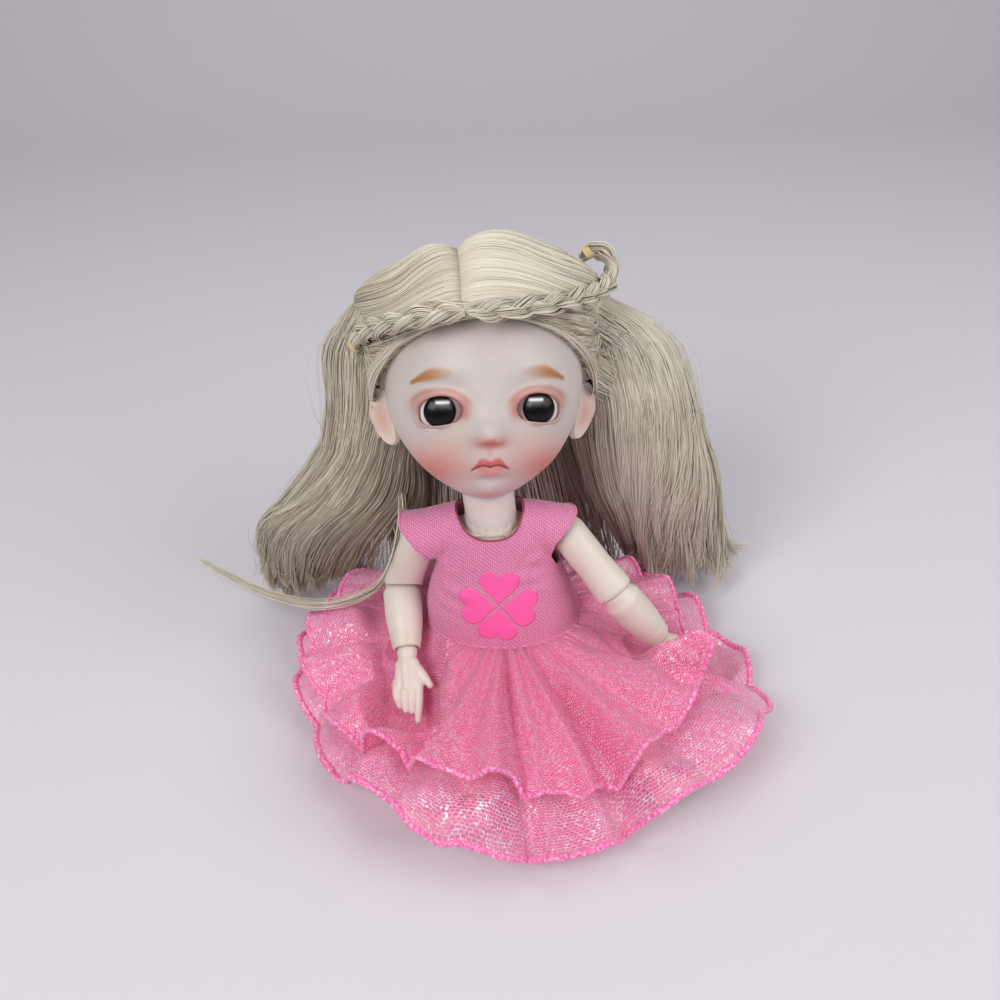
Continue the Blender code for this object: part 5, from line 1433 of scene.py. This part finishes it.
def skirt_rows(layer, side):
    """Points of one half of one layer as (columns, rows, 3), with their share and azimuth."""
    columns, rows = 420, 84
    first, last = (-math.pi / 2, math.pi / 2) if side == "left" else (-1.5 * math.pi, -math.pi / 2)
    azimuth = np.linspace(first, last, columns)
    share = np.linspace(0, 1, rows) ** 1.05
    A, S = np.meshgrid(azimuth, share, indexing="ij")
    ends = step(np.minimum(A - first, last - A), 0.0, 0.16)
    bent = A + 0.05 * (1 - S) * np.sin(5 * A + 1) + 0.03 * np.sin(3 * S + 7 * A) * S
    fold, place = ruffle(bent, 0.0 if layer == "lower" else 2.5)
    lean = 0.020 * np.sin(math.tau * place) * S * ends
    B = A + lean + 0.012 * np.sin(A * 17 + S * 5.0) * S * ends
    start = 1 / np.hypot(np.cos(B) / WAIST_HALF, np.sin(B) / WAIST_DEEP)
    full = np.maximum(hem_reach(B, layer), start * 1.25)
    radius = start + (full - start) * S + 3.6 * (fold - 0.65) * S**1.6
    x = radius * np.cos(B)
    y = radius * np.sin(B)
    reach = hem_reach(B, "lower")
    low = skirt_base(x, y, np.clip((radius - start) / np.maximum(reach - start, 1), 0, 1))
    room = arm_room(x, y)
    under = ruffle(bent)[0]
    tall = (0.6 + 6.4 * S**0.85) * (0.18 + 0.82 * room)
    height = low + tall * np.clip(under, 0, 1)
    gather = 0.75 * (1 - S) ** 1.4 * pleat(A, FINE_PLEATS, 0.0) * step(S, 0.0, 0.05)
    crinkle = 0.30 * pleat(A, FINE_PLEATS, 1.0) * step(S, 0.3, 1.0)
    height = height + (gather + crinkle) * room
    if layer == "upper":
        billow = 0.4 + 3.6 * S
        height = height + LAYER_SPACING * (0.8 + 0.5 * S) + billow * np.clip(fold, 0, 1) * room
        height = height + hand_ruffle(x, y)
    z = np.maximum(height, 0.45)
    x = x - HEM_LEVEL * LEAN * (1 - S)
    return np.stack([x, y, z], -1), S, A


def make_skirt():
    for layer in ("upper", "lower"):
        for side in SIDES:
            sign = SIGN[side]
            points, S, A = skirt_rows(layer, side)
            sheet = grid_mesh(f"skirt_net_{layer}_{side}", points * MM, closed=False)
            uv = sheet.data.uv_layers.new(name="weave")
            across = A * 78.0
            along = S * 56.0
            flat = np.stack([across.ravel(), along.ravel()], 1)
            loops = np.empty(len(sheet.data.loops), int)
            sheet.data.loops.foreach_get("vertex_index", loops)
            uv.data.foreach_set("uv", flat[loops].astype(np.float32).ravel())
            wear(sheet, NET_MAT)
            cord = edge_cord(
                f"skirt_hem_{layer}_{side}",
                points[:, -1] * MM,
                False,
                0.00084 if layer == "lower" else 0.00064,
                HEM_MAT,
                "glitter_tulle",
                900,
                ridges=1.7,
            )
            span = ((0.0, 0.004, 0.0), (sign * 0.018, -0.014, 0.0))
            for obj in (sheet, cord):
                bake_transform(obj, "torso", f"hip_{side}", *span)
            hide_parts(f"skirt_{layer}_{side}")


def make_dress():
    cloth = make_bodice()
    make_clover(cloth)
    make_skirt()


# Hair

HAIR_DICE = np.random.default_rng(41)
PART_X = -0.22
PART_FRONT = 55
PART_BACK = -62
OUT, BACK, UP, WIDE, THICK = 56.0, 33.0, 100.0, 12.5, 6.2
LEAN_TOP = 62.2
SIDE_ROWS = {
    "right": ((0.495, 0.66, 0.87, 0.76, 0.9), (0.520, 0.60, 0.73, 0.76, 1.0), (0.560, 0.58, 0.61, 0.80, 1.0)),
    "left": ((0.607, 0.68, 0.87, 0.88, 0.85), (0.688, 0.60, 0.73, 1.0, 1.0), (0.732, 0.58, 0.61, 1.12, 1.0)),
}
FALL_ROWS = {
    "right": (
        (0.68, 0.64, 0.45, 1.24, 1.0),
        (0.82, 0.74, 0.28, 1.58, 1.0),
        (0.875, 0.82, 0.12, 1.54, 0.92),
        (0.893, 0.84, 0.03, 1.40, 0.70),
    ),
    "left": (
        (0.786, 0.64, 0.45, 1.23, 1.0),
        (0.84, 0.74, 0.28, 1.16, 1.0),
        (0.893, 0.82, 0.12, 1.08, 0.92),
        (0.91, 0.84, 0.03, 1.0, 0.70),
    ),
}
BACK_ROWS = (
    (0.0, 0.86, 0.66, 1.80, 0.75),
    (0.0, 0.92, 0.42, 2.30, 0.95),
    (0.0, 1.02, 0.25, 2.62, 1.00),
    (0.0, 1.08, 0.10, 2.76, 0.90),
    (0.0, 1.10, 0.02, 2.75, 0.70),
)
# Directions from the head's middle, in shares of its half sizes
LEAVES_FRONT = (0.93, 0.00, 0.36)
LEAVES_MIDDLE = (0.85, 0.20, 0.49)
LEAVES_BACK = (0.44, 0.80, 0.42)
OVER_FRONT = {"right": (-0.72, -0.54, 0.44), "left": (0.62, -0.58, 0.53)}
# The wig cap's edge, as the frame has it: a plane that falls from the forehead to the nape
EDGE_LEVEL, EDGE_FRONT, EDGE_SLOPE = 15.0, 19.35, math.radians(42)
CAP_OUTSIDE = 0.95
CROWN_STEPS = 20


def over_head(start, middle, end, grow, count):
    """Paths over the skull, in world millimetres; grow (strands, count) lifts them off the skin."""
    s = np.linspace(0, 1, count)[None, :, None]
    control = 2 * middle - 0.5 * (start + end)
    way = (1 - s) ** 2 * start[:, None] + 2 * s * (1 - s) * control[:, None] + s**2 * end[:, None]
    way = unit(way).reshape(-1, 3)
    flat = head_point(way, 0.0) + way * (grow.reshape(-1, 1) * MM)
    return to_world(flat).reshape(len(start), count, 3) / MM


def on_edge(turn, above, sign=1):
    """Directions to the wig's edge at each turn from the front, raised by above millimetres."""
    lifts = np.radians(np.linspace(-75, 60, 541))
    found = []
    for azimuth in np.atleast_1d(turn):
        a = math.radians(azimuth)
        way = np.stack([math.sin(a) * np.cos(lifts), -math.cos(a) * np.cos(lifts), np.sin(lifts)], 1)
        place = head_point(way, 0.0) / MM
        over = place[:, 2] - EDGE_LEVEL + (place[:, 1] + EDGE_FRONT) * math.tan(EDGE_SLOPE)
        found.append(lifts[np.argmax(over > 0)])
    lift = np.array(found) + np.asarray(above) / 24
    a = np.radians(turn)
    return np.stack([sign * np.sin(a) * np.cos(lift), -np.cos(a) * np.cos(lift), np.sin(lift)], 1)


def mass_rows(rows, sign, psi, depth):
    """Places in each listed cross-section; psi turns from outside (0) to the front (90 degrees)."""
    out = []
    for x, y, z, wide, thick in rows:
        level = z * UP
        cx = -min(level, LEAN_TOP) * LEAN + sign * x * OUT
        cy = y * BACK
        w, h = wide * WIDE * depth, thick * THICK * depth
        px = cx + (sign if sign else 1) * w * np.cos(psi)
        out.append(np.stack([px, cy - h * np.sin(psi), np.full(len(psi), level)], 1))
    return np.stack(out, 1)


def clumped(psi, depth, clumps):
    """Draws places towards a few shared ones, so that the ends fall in locks."""
    centre_psi = HAIR_DICE.uniform(psi.min(), psi.max(), clumps)
    centre_depth = np.sqrt(HAIR_DICE.uniform(0.35, 1.05, clumps))
    gap = (psi[:, None] - centre_psi) ** 2 + (2.2 * (depth[:, None] - centre_depth)) ** 2
    nearest = gap.argmin(1)
    return centre_psi[nearest], centre_depth[nearest], nearest


def strand_tints(nearest, clumps, count, depth, lift=0.0, root=0.30):
    base = 0.66 + lift + 0.15 * HAIR_DICE.normal(size=clumps)[nearest] * 0.8
    # Painted shade: strands deep inside a mass are darker.
    base = base + 0.10 * HAIR_DICE.normal(size=len(nearest)) - 0.30 * (1 - np.clip(depth, 0, 1))
    along = np.linspace(0, 1, count)[None]
    wave = 0.05 * np.sin(along * 14 + HAIR_DICE.uniform(0, 6, len(nearest))[:, None])
    return np.clip(base[:, None] + wave - root * np.exp(-along * 26), 0.05, 1.0)


def part_direction(along):
    """Directions down the parting: along 0 is at the forehead, 1 behind the crown."""
    turn = np.radians(PART_FRONT + (PART_BACK - PART_FRONT) * along)
    rest = math.sqrt(1 - PART_X**2)
    return np.stack([np.full(len(turn), PART_X), -rest * np.sin(turn), rest * np.cos(turn)], 1)


def crown_strands(side, strands):
    """Full paths from the parting over the head and down one side."""
    sign = SIGN[side]
    f = np.sort(HAIR_DICE.uniform(0, 1, strands) ** 1.15)
    start = part_direction(f)
    mirror = np.array([sign, 1, 1])
    ways = np.array((LEAVES_FRONT, LEAVES_MIDDLE, LEAVES_BACK)) * mirror
    end = unit(np.stack([np.interp(f, (0, 0.4, 1), ways[:, k]) for k in range(3)], 1))
    natural = unit(start + end)
    pull = ((1 - f) ** 1.5)[:, None]
    middle = unit(natural * (1 - pull) + unit(np.array(OVER_FRONT[side])) * pull)
    depth = np.sqrt(HAIR_DICE.uniform(0.30, 1.05, strands))
    s = np.linspace(0, 1, CROWN_STEPS)[None]
    rise = 1 - np.exp(-s * 9)
    locks = 0.35 * np.sin(f * 95 + 2 * np.sin(f * 37))[:, None] * np.sin(s * math.pi)
    full = (1.6 + 2.4 * depth[:, None]) * (0.35 + 0.65 * step(f, 0.0, 0.16)[:, None])
    full = full + locks + 0.15 * HAIR_DICE.normal(size=(strands, 1))
    rounding = step(f, 0.0, 0.35) * (1 - 0.6 * step(f, 0.55, 1.0))
    bulge = 5.4 * rounding[:, None] * depth[:, None] * step(s, 0.35, 1.0)
    grow = CAP_OUTSIDE + full * rise + bulge
    crown = over_head(start, middle, end, grow, CROWN_STEPS)
    psi = np.radians(105 - 215 * f) + 0.10 * HAIR_DICE.normal(size=strands)
    return crown, psi, depth, f


def under_strands(side, strands):
    """Hair from the hairline under the plait, swept back behind the ear."""
    sign = SIGN[side]
    f = HAIR_DICE.uniform(0, 1, strands)
    start = on_edge(1 + 87 * f, HAIR_DICE.uniform(0.2, 2.4, strands), sign)
    mirror = np.array([sign, 1, 1])
    end = unit(np.array((0.92, 0.03, 0.40)) * mirror + 0.07 * HAIR_DICE.normal(size=(strands, 3)))
    middle = unit(start + end + np.array([sign * 0.06, -0.10, -0.16]) * (1 - f[:, None] * 0.6))
    depth = np.sqrt(HAIR_DICE.uniform(0.35, 1.0, strands))
    s = np.linspace(0, 1, CROWN_STEPS)[None]
    grow = 0.75 + (1.2 + 1.7 * depth[:, None]) * (1 - np.exp(-s * 6)) + 1.8 * depth[:, None] * s**2
    crown = over_head(start, middle, end, grow, CROWN_STEPS)
    psi = np.radians(62 + 128 * HAIR_DICE.uniform(0, 1, strands)) + 0.1 * HAIR_DICE.normal(size=strands)
    depth = depth * (1 + 0.55 * step(psi, 1.7, 2.8))
    return crown, psi, depth, f


def edge_strands(side, strands):
    """The front row, which follows the hairline down from under the plait to the ear."""
    sign = SIGN[side]
    f = HAIR_DICE.uniform(0, 1, strands)
    begin = 2 + 74 * f
    above = HAIR_DICE.uniform(-0.5, 2.6, strands)
    start = on_edge(begin, np.minimum(above * 0.5, 0.9), sign)
    middle = on_edge((begin + 88) / 2, above, sign)
    end = on_edge(np.full(strands, 90.0), 1.0 + 2.2 * above, sign)
    end = unit(end + 0.03 * HAIR_DICE.normal(size=(strands, 3)))
    depth = np.sqrt(HAIR_DICE.uniform(0.5, 1.0, strands))
    s = np.linspace(0, 1, CROWN_STEPS)[None]
    rise = CAP_OUTSIDE * np.minimum(1.0, s * 14 + 0.2)
    grow = rise + (0.4 + 0.8 * depth[:, None]) * np.sin(s * math.pi / 2) + 1.6 * depth[:, None] * s**3
    crown = over_head(start, middle, end, grow, CROWN_STEPS)
    psi = np.radians(80 + 80 * HAIR_DICE.uniform(0, 1, strands))
    return crown, psi, depth * 1.05, f


# A loose lock beside the right arm, in millimetres
LOCK = (
    (-29.4, 24.0, 48.3),
    (-26.5, 15.0, 45.1),
    (-28.3, 10.0, 33.4),
    (-33.3, 7.0, 23.4),
    (-41.9, 4.0, 20.1),
    (-52.3, 3.0, 20.1),
    (-64.2, 3.0, 24.9),
    (-74.0, 5.0, 30.5),
    (-79.6, 7.0, 33.2),
)


def make_lock(strands):
    route = smooth_path(LOCK, 40)
    offsets = HAIR_DICE.normal(size=(strands, 1, 3)) * 0.55
    along = np.linspace(0, 1, 40)[None, :, None]
    spread = 0.7 + 0.5 * np.sin(along * math.pi)
    paths = route[None] + offsets * spread + 0.3 * np.sin(along * 9 + offsets * 5)
    paths[..., 2] = np.maximum(paths[..., 2], 0.5)
    tint = 0.78 + 0.12 * HAIR_DICE.normal(size=(strands, 1))
    thick = np.broadcast_to(0.14 * (1 - 0.6 * along[..., 0] ** 3), paths.shape[:2])
    hair_piece("hair_lock_right", paths, thick, np.clip(tint, 0, 1), "hair_fall_right", TO_TORSO)


def loose_wave(paths, start, amount):
    """Gentle waves that grow down the strands."""
    strands, count = paths.shape[:2]
    along = np.clip((np.linspace(0, 1, count) - start) / (1 - start), 0, 1)[None]
    phase = HAIR_DICE.uniform(0, math.tau, (strands, 1))
    size = amount * HAIR_DICE.uniform(0.3, 1.0, (strands, 1)) * along
    paths[..., 0] += size * np.sin(along * 7 + phase)
    paths[..., 1] += size * np.cos(along * 6 + phase * 1.3)
    return paths


# Where the front of each mass drifts to on its way down: the right one's outwards, the left one's in
DRIFT = {"right": 8.0, "left": 165.0}
DRIFT_ROWS = (0.0, 0.03, 0.14, 0.40, 0.72, 0.92, 1.0)


def hang(side, crown, psi, depth, clumps):
    """Carries strands on from the head through the side mass to the floor."""
    sign = SIGN[side]
    lock_psi, lock_depth, nearest = clumped(psi, depth, clumps)
    rows = SIDE_ROWS[side] + FALL_ROWS[side]
    facing = np.clip(np.sin(psi), 0, 1) ** 0.6 * HAIR_DICE.uniform(0.35, 1.0, clumps)[nearest]
    target = math.radians(DRIFT[side])
    places = []
    for row, share in zip(rows, DRIFT_ROWS):
        turned = psi + (target - psi) * share * facing
        lock = lock_psi + (target - lock_psi) * share * facing
        draw = 0.2 + 0.6 * share
        here = mass_rows((row,), sign, turned, depth)[:, 0]
        there = mass_rows((row,), sign, lock, lock_depth)[:, 0]
        places.append(here * (1 - draw) + there * draw)
    places = np.stack(places, 1)
    reach = np.linalg.norm(places[:, 0, :2] - crown[:, -1, :2], axis=1)
    places[:, 0, 2] = np.minimum(places[:, 0, 2], crown[:, -1, 2] - 1.5 - 0.9 * np.minimum(reach, 9))
    for k in (1, 2):
        places[:, k, 2] = np.minimum(places[:, k, 2], places[:, k - 1, 2] - 4)
    places += HAIR_DICE.normal(size=places.shape) * np.array([0.25, 0.25, 0.0])
    lift = facing * HAIR_DICE.uniform(0.0, 1.0, clumps)[nearest]
    for k, share in enumerate(DRIFT_ROWS):
        places[:, k, 2] += 13.0 * lift * step(share, 0.25, 0.95)
    flick = HAIR_DICE.normal(size=(clumps, 3))[nearest] * np.array([3.2, 2.2, 0.0])
    flick[:, 2] = HAIR_DICE.uniform(0.0, 8.0, clumps)[nearest] + HAIR_DICE.uniform(-1.5, 3.0, len(psi))
    places[:, -1] += flick
    places[:, -2] += flick * 0.35
    places[:, -1, 2] = np.clip(places[:, -1, 2], 0.9, 34)
    upper = curves(np.concatenate([crown[:, -3:-1], crown[:, -1:], places[:, :3]], 1), 5 * 8 + 1)
    side_part = upper[:, 16:][:, ::2]
    lower = curves(np.concatenate([places[:, 1:3], places[:, 3:]], 1), 5 * 6 + 1)
    fall_part = lower[:, 6:]
    return side_part, fall_part, nearest


def hair_piece(name, paths, thick, tint, node, rides):
    """A mesh of strands in millimetres, as thick as the given radii."""
    obj = tubes(name, paths * MM, thick * MM, 3, tint)
    return settle(obj, HAIR_MAT, "blonde_hair", rides, node)


TO_NECK = ("head", "neck", (0.0, 0.02, 0.084), (0.0, 0.02, 0.062))
TO_TORSO = ("neck", "torso", (0.0, 0.02, 0.060), (0.0, 0.02, 0.022))


# Painted light and painted shade: the left mass is painted paler, as it stands in more light, and strands
# that face the face are painted darker, as in shade.
PAINTED_LIGHT_LIFT = {"right": 0.0, "left": 0.38}
PAINTED_SHADE_INSIDE = {"right": 0.10, "left": 0.66}


def make_side(side, label, source, strands, clumps, radius):
    crown, psi, depth, _ = source(side, strands)
    side_part, fall_part, nearest = hang(side, crown, psi, depth, clumps)
    fall_part = loose_wave(fall_part, 0.05, 1.3)
    fall_part[..., 2] = np.maximum(fall_part[..., 2], 0.4)
    # Painted light on the left mass, painted shade on strands that face the face.
    lift = PAINTED_LIGHT_LIFT[side] - PAINTED_SHADE_INSIDE[side] * step(psi, 1.6, 2.6)
    tint = strand_tints(nearest, clumps, CROWN_STEPS, depth, lift)
    late = tint[:, -1:]
    shade = 0.06 * np.sin(np.linspace(0, 5, side_part.shape[1]))[None]
    thick = np.full(crown.shape[:2], radius)
    hair_piece(f"hair_{label}_crown_{side}", crown, thick, tint, "hair_crown", "head")
    thick = np.full(side_part.shape[:2], radius)
    hair_piece(
        f"hair_{label}_side_{side}", side_part, thick, late + shade, f"hair_side_{side}", TO_NECK
    )
    ends = np.linspace(1, 0, fall_part.shape[1]) ** 0.5 * 0.65 + 0.35
    thick = radius * np.broadcast_to(ends, fall_part.shape[:2])
    tail = 0.07 * np.sin(np.linspace(0, 6, fall_part.shape[1]))[None]
    hair_piece(
        f"hair_{label}_fall_{side}", fall_part, thick, late + tail, f"hair_fall_{side}", TO_TORSO
    )


def make_back(strands):
    """Hair from the crown down the back of the head to the floor."""
    f = HAIR_DICE.uniform(-1, 1, strands)
    start = part_direction(HAIR_DICE.uniform(0.72, 1.1, strands))
    end = unit(np.stack([0.95 * f, 0.80 - 0.50 * f**2, np.full(strands, -0.46)], 1))
    middle = unit(start + end + np.stack([0.5 * f, np.full(strands, 0.2), np.full(strands, 0.1)], 1))
    depth = np.sqrt(HAIR_DICE.uniform(0.3, 1.05, strands))
    s = np.linspace(0, 1, CROWN_STEPS)[None]
    grow = CAP_OUTSIDE + (2.4 + 1.2 * depth[:, None]) * (1 - np.exp(-s * 7)) + 2.0 * depth[:, None] * s**2
    crown = over_head(start, middle, end, grow, CROWN_STEPS)
    psi = np.arccos(np.clip(f * 0.98, -1, 1)) * np.where(HAIR_DICE.uniform(size=strands) < 0.35, 1, -1)
    places = mass_rows(BACK_ROWS, 0, psi, depth)
    places += HAIR_DICE.normal(size=places.shape) * np.array([0.4, 0.3, 0.0])
    _, _, nearest = clumped(psi, depth, 60)
    fall = curves(np.concatenate([crown[:, -2:-1], crown[:, -1:], places], 1), 6 * 4 + 1)[:, 4:]
    fall = loose_wave(fall, 0.1, 1.6)
    fall[..., 2] = np.maximum(fall[..., 2], 0.4)
    tint = strand_tints(nearest, 60, CROWN_STEPS, depth) - 0.04
    hair_piece("hair_back_crown", crown, np.full(crown.shape[:2], 0.15), tint, "hair_crown", "head")
    thick = np.full(fall.shape[:2], 0.16)
    late = np.broadcast_to(tint[:, -1:], fall.shape[:2])
    hair_piece("hair_back_fall", fall, thick, late, "hair_fall_back", TO_TORSO)


def shell(name, rings, node, rides, dark=0.26, streaked=False):
    """A closed dark core that fills a mass of hair under its strands: painted shade between them."""
    rings = np.asarray(rings)
    obj = grid_mesh(name, rings * MM, caps=True)
    tidy_normals(obj)
    streaks = HAIR_DICE.uniform(0.8, 1.25, rings.shape[1]) if streaked else np.ones(rings.shape[1])
    set_tint(obj.data, dark * np.tile(streaks, rings.shape[0]))
    return settle(obj, HAIR_MAT, "blonde_hair", rides, node)


def make_cores():
    # Painted shade: dark cores inside the side, fall and back masses.
    turn = around(48)
    inner = np.full(48, 0.70)
    for side in SIDES:
        rows = SIDE_ROWS[side] + FALL_ROWS[side]
        smooth = curves(mass_rows(rows, SIGN[side], turn, inner), 61).transpose(1, 0, 2)
        smooth[..., 2] = np.maximum(smooth[..., 2], 1.0)
        close = np.clip((np.arange(61) - 4) / 9, 0.12, 1)[:, None, None] ** 0.6
        middle = smooth.mean(1, keepdims=True)
        smooth = middle + (smooth - middle) * close
        smooth[:, :, 2] -= 5.0 * (1 - close[:, :, 0])
        ending = np.clip((60 - np.arange(61)) / 22, 0.1, 1)[:, None, None] ** 0.6
        smooth = middle + (smooth - middle) * ending
        smooth[:, :, 2] += 9.0 * (1 - ending[:, :, 0])
        shell(f"hair_core_side_{side}", smooth[5:21], f"hair_side_{side}", TO_NECK)
        shell(f"hair_core_fall_{side}", smooth[20:], f"hair_fall_{side}", TO_TORSO)
    smooth = curves(mass_rows(BACK_ROWS, 0, turn, inner), 41).transpose(1, 0, 2)
    close = np.clip(np.arange(41) / 8, 0.2, 1)[:, None, None] ** 0.6
    middle = smooth.mean(1, keepdims=True)
    smooth = middle + (smooth - middle) * close
    smooth[:, :, 2] -= 7.0 * (1 - close[:, :, 0])
    shell("hair_core_back", smooth, "hair_fall_back", TO_TORSO)
    make_scalp()


def make_scalp():
    """The wefts' dark ground over the skull, from the hairline to the nape, which also serves as painted
    shade under the strands.
    """
    columns, rows = 900, 60
    azimuth = around(columns)
    off = np.degrees(np.abs(np.mod(azimuth + math.pi, math.tau) - math.pi))
    lift = np.arcsin(on_edge(off, 0.15)[:, 2])
    rings = []
    for k in range(rows):
        share = k / (rows - 1)
        angle = lift + (math.pi / 2 - 0.02 - lift) * share
        way = np.stack([np.sin(azimuth) * np.cos(angle), -np.cos(azimuth) * np.cos(angle), np.sin(angle)], 1)
        grow = (CAP_OUTSIDE + 0.10 * min(1.0, share * 6) * (1 - share)) * MM
        rings.append(to_world(head_point(way, 0.0) + way * grow) / MM)
    shell("hair_scalp", rings, "hair_crown", "head", 0.42, True)


# Plaits, in the head's own frame, in millimetres

PLAITS = {
    "right": (
        (-4.9, -24.8, 16.2),
        (-9.5, -23.9, 15.7),
        (-15.6, -21.3, 14.7),
        (-21.0, -16.6, 13.4),
        (-25.2, -10.0, 12.0),
        (-28.0, -3.0, 10.2),
        (-29.6, 2.4, 7.8),
    ),
    "left": (
        (-5.3, -24.8, 16.2),
        (4.0, -24.8, 16.2),
        (11.0, -22.3, 16.8),
        (18.0, -18.0, 17.7),
        (24.2, -10.6, 18.8),
        (28.4, -3.0, 20.6),
        (30.4, 1.6, 23.4),
        (30.2, 3.4, 26.8),
        (27.0, 4.8, 28.8),
        (24.0, 6.5, 27.0),
    ),
}
PLAIT_PERIOD = 21.0
PLAIT_WIDE = 1.3
PLAIT_DEEP = 0.9
FIBRES = 46


def make_plait(side):
    route = smooth_path(PLAITS[side], 150)
    along = along_edge(route)
    way = unit(np.gradient(route, axis=0))
    out = unit(route / np.array([HEAD_WIDE, HEAD_FRONT, HEAD_TOP]) ** 2 * 1e-6)
    across = unit(np.cross(way, out))
    out = np.cross(across, way)
    taper = (0.55 + 0.45 * step(along, 0, 5)) * (0.50 + 0.50 * step(along[-1] - along, 0.0, 6.0))
    paths, tints, radii = [], [], []
    for k in range(3):
        turn = math.tau * along / PLAIT_PERIOD + math.tau * k / 3
        centre = (
            route
            + across * (PLAIT_WIDE * np.sin(turn) * taper)[:, None]
            + out * (PLAIT_DEEP * np.sin(2 * turn) * taper)[:, None]
        )
        for _ in range(FIBRES):
            angle = HAIR_DICE.uniform(0, math.tau)
            r = math.sqrt(HAIR_DICE.uniform(0.1, 1.0))
            roll = angle + along * 0.25
            a = 1.3 * r * np.cos(roll) * taper
            b = 1.15 * r * np.sin(roll) * taper
            jitter = HAIR_DICE.normal(size=3) * 0.05
            paths.append(centre + across * a[:, None] + out * b[:, None] + jitter)
            # Painted shade and light: fibres nearer the plait's middle and in its grooves are darker, raised
            # ones lighter.
            shade = 0.74 + 0.10 * HAIR_DICE.normal() - 0.25 * (1 - r)
            groove = 0.16 * np.sin(2 * turn)
            tints.append(np.clip(shade + groove, 0.1, 1))
            radii.append(0.15 * (0.6 + 0.4 * taper))
    paths = to_world(np.array(paths) * MM)
    obj = tubes(f"plait_{side}", paths, np.array(radii) * MM, 3, np.array(tints))
    settle(obj, HAIR_MAT, "blonde_hair", "head", f"braid_{side}")
    tie = []
    near = int(len(route) * 0.93)
    for k in range(4):
        point = route[near] + way[near] * (k - 1.5) * 0.42
        turn = np.linspace(0, math.tau, 40)
        ring = point + np.outer(np.cos(turn), across[near]) * 1.55 + np.outer(np.sin(turn), out[near]) * 1.35
        tie.append(ring)
    band = tubes(f"plait_band_{side}", to_world(np.array(tie) * MM), 0.00026, 8)
    settle(band, BAND_MAT, "hair_band", "head", f"braid_tie_{side}")


def make_flyaways():
    """Single hairs that stand off the sides."""
    for side in SIDES:
        crown, psi, depth, _ = crown_strands(side, 120)
        side_part, fall_part, _ = hang(side, crown, psi, depth * 1.12, 120)
        away = HAIR_DICE.normal(size=(120, 1, 3)) * np.array([2.6, 1.6, 1.0])
        grow = np.linspace(0, 1, fall_part.shape[1])[None, :, None]
        fall_part = loose_wave(fall_part + away * grow, 0.0, 2.6)
        side_away = away * np.sin(np.linspace(0, math.pi, side_part.shape[1]))[None, :, None]
        side_part = side_part + side_away * 0.8
        fall_part[..., 2] = np.maximum(fall_part[..., 2], 0.4)
        tint = np.full((120, 1), 0.9)
        thick = np.full(side_part.shape[:2], 0.07)
        hair_piece(f"hair_fly_side_{side}", side_part, thick, tint, f"hair_side_{side}", TO_NECK)
        thick = np.full(fall_part.shape[:2], 0.06)
        hair_piece(f"hair_fly_fall_{side}", fall_part, thick, tint, f"hair_fall_{side}", TO_TORSO)


def make_hair():
    make_cores()
    for side in SIDES:
        make_side(side, "top", crown_strands, 1450, 70, 0.15)
        make_side(side, "fill", crown_strands, 1450, 50, 0.13)
        make_side(side, "under", under_strands, 1100, 40, 0.14)
        make_side(side, "edge", edge_strands, 420, 24, 0.14)
        make_plait(side)
    make_back(2000)
    make_flyaways()
    make_lock(34)


# Stage


def make_stage():
    scene = bpy.context.scene
    scene.view_settings.view_transform = "Standard"
    world = bpy.data.worlds.new("studio")
    world.use_nodes = True
    scene.world = world
    back = world.node_tree.nodes["Background"]
    back.inputs["Color"].default_value = (*srgb(214, 211, 217), 1)
    back.inputs["Strength"].default_value = 0.44
    floor_tone = shader("paper_sweep", srgb(214, 210, 216), roughness=0.9)
    depth, near, bend, wall = 0.45, -0.9, 0.25, 1.2
    profile = [(near, 0.0), (depth, 0.0)]
    for k in range(1, 13):
        turn = math.radians(90 * k / 12)
        profile.append((depth + bend * math.sin(turn), bend * (1 - math.cos(turn))))
    profile.append((depth + bend, wall))
    rows = [[(x, y, z) for x in (-2.0, 2.0)] for y, z in profile]
    floor = wear(grid_mesh("sweep", rows, closed=False), floor_tone)
    lights = (
        ("key", (-0.34, -0.42, 0.52), 0.34, 2.7),
        ("fill", (0.42, -0.22, 0.42), 0.40, 1.5),
        ("top", (0.0, 0.12, 0.70), 0.50, 1.0),
    )
    for name, place, size, power in lights:
        data = bpy.data.lights.new(name, "AREA")
        data.size = size
        data.energy = power
        lamp = bpy.data.objects.new(name, data)
        lamp.location = place
        aim = Vector((0, 0, 0.06)) - Vector(place)
        lamp.rotation_euler = aim.to_track_quat("-Z", "Y").to_euler()
        scene.collection.objects.link(lamp)


def make_camera():
    camera_data = bpy.data.cameras.new("camera")
    camera_data.sensor_width = 36
    camera_data.lens = 36 * 1021 / 1000
    camera = bpy.data.objects.new("camera", camera_data)
    down = Matrix.Rotation(math.radians(90 - 37), 4, "X")
    roll = Matrix.Rotation(math.radians(-2), 4, "Z")
    camera.matrix_world = Matrix.Translation((-0.0012, -0.197, 0.203)) @ down @ roll
    bpy.context.scene.collection.objects.link(camera)
    bpy.context.scene.camera = camera


dress_frame()
make_stage()
make_camera()
make_head()
make_limbs()
make_dress()
make_hair()
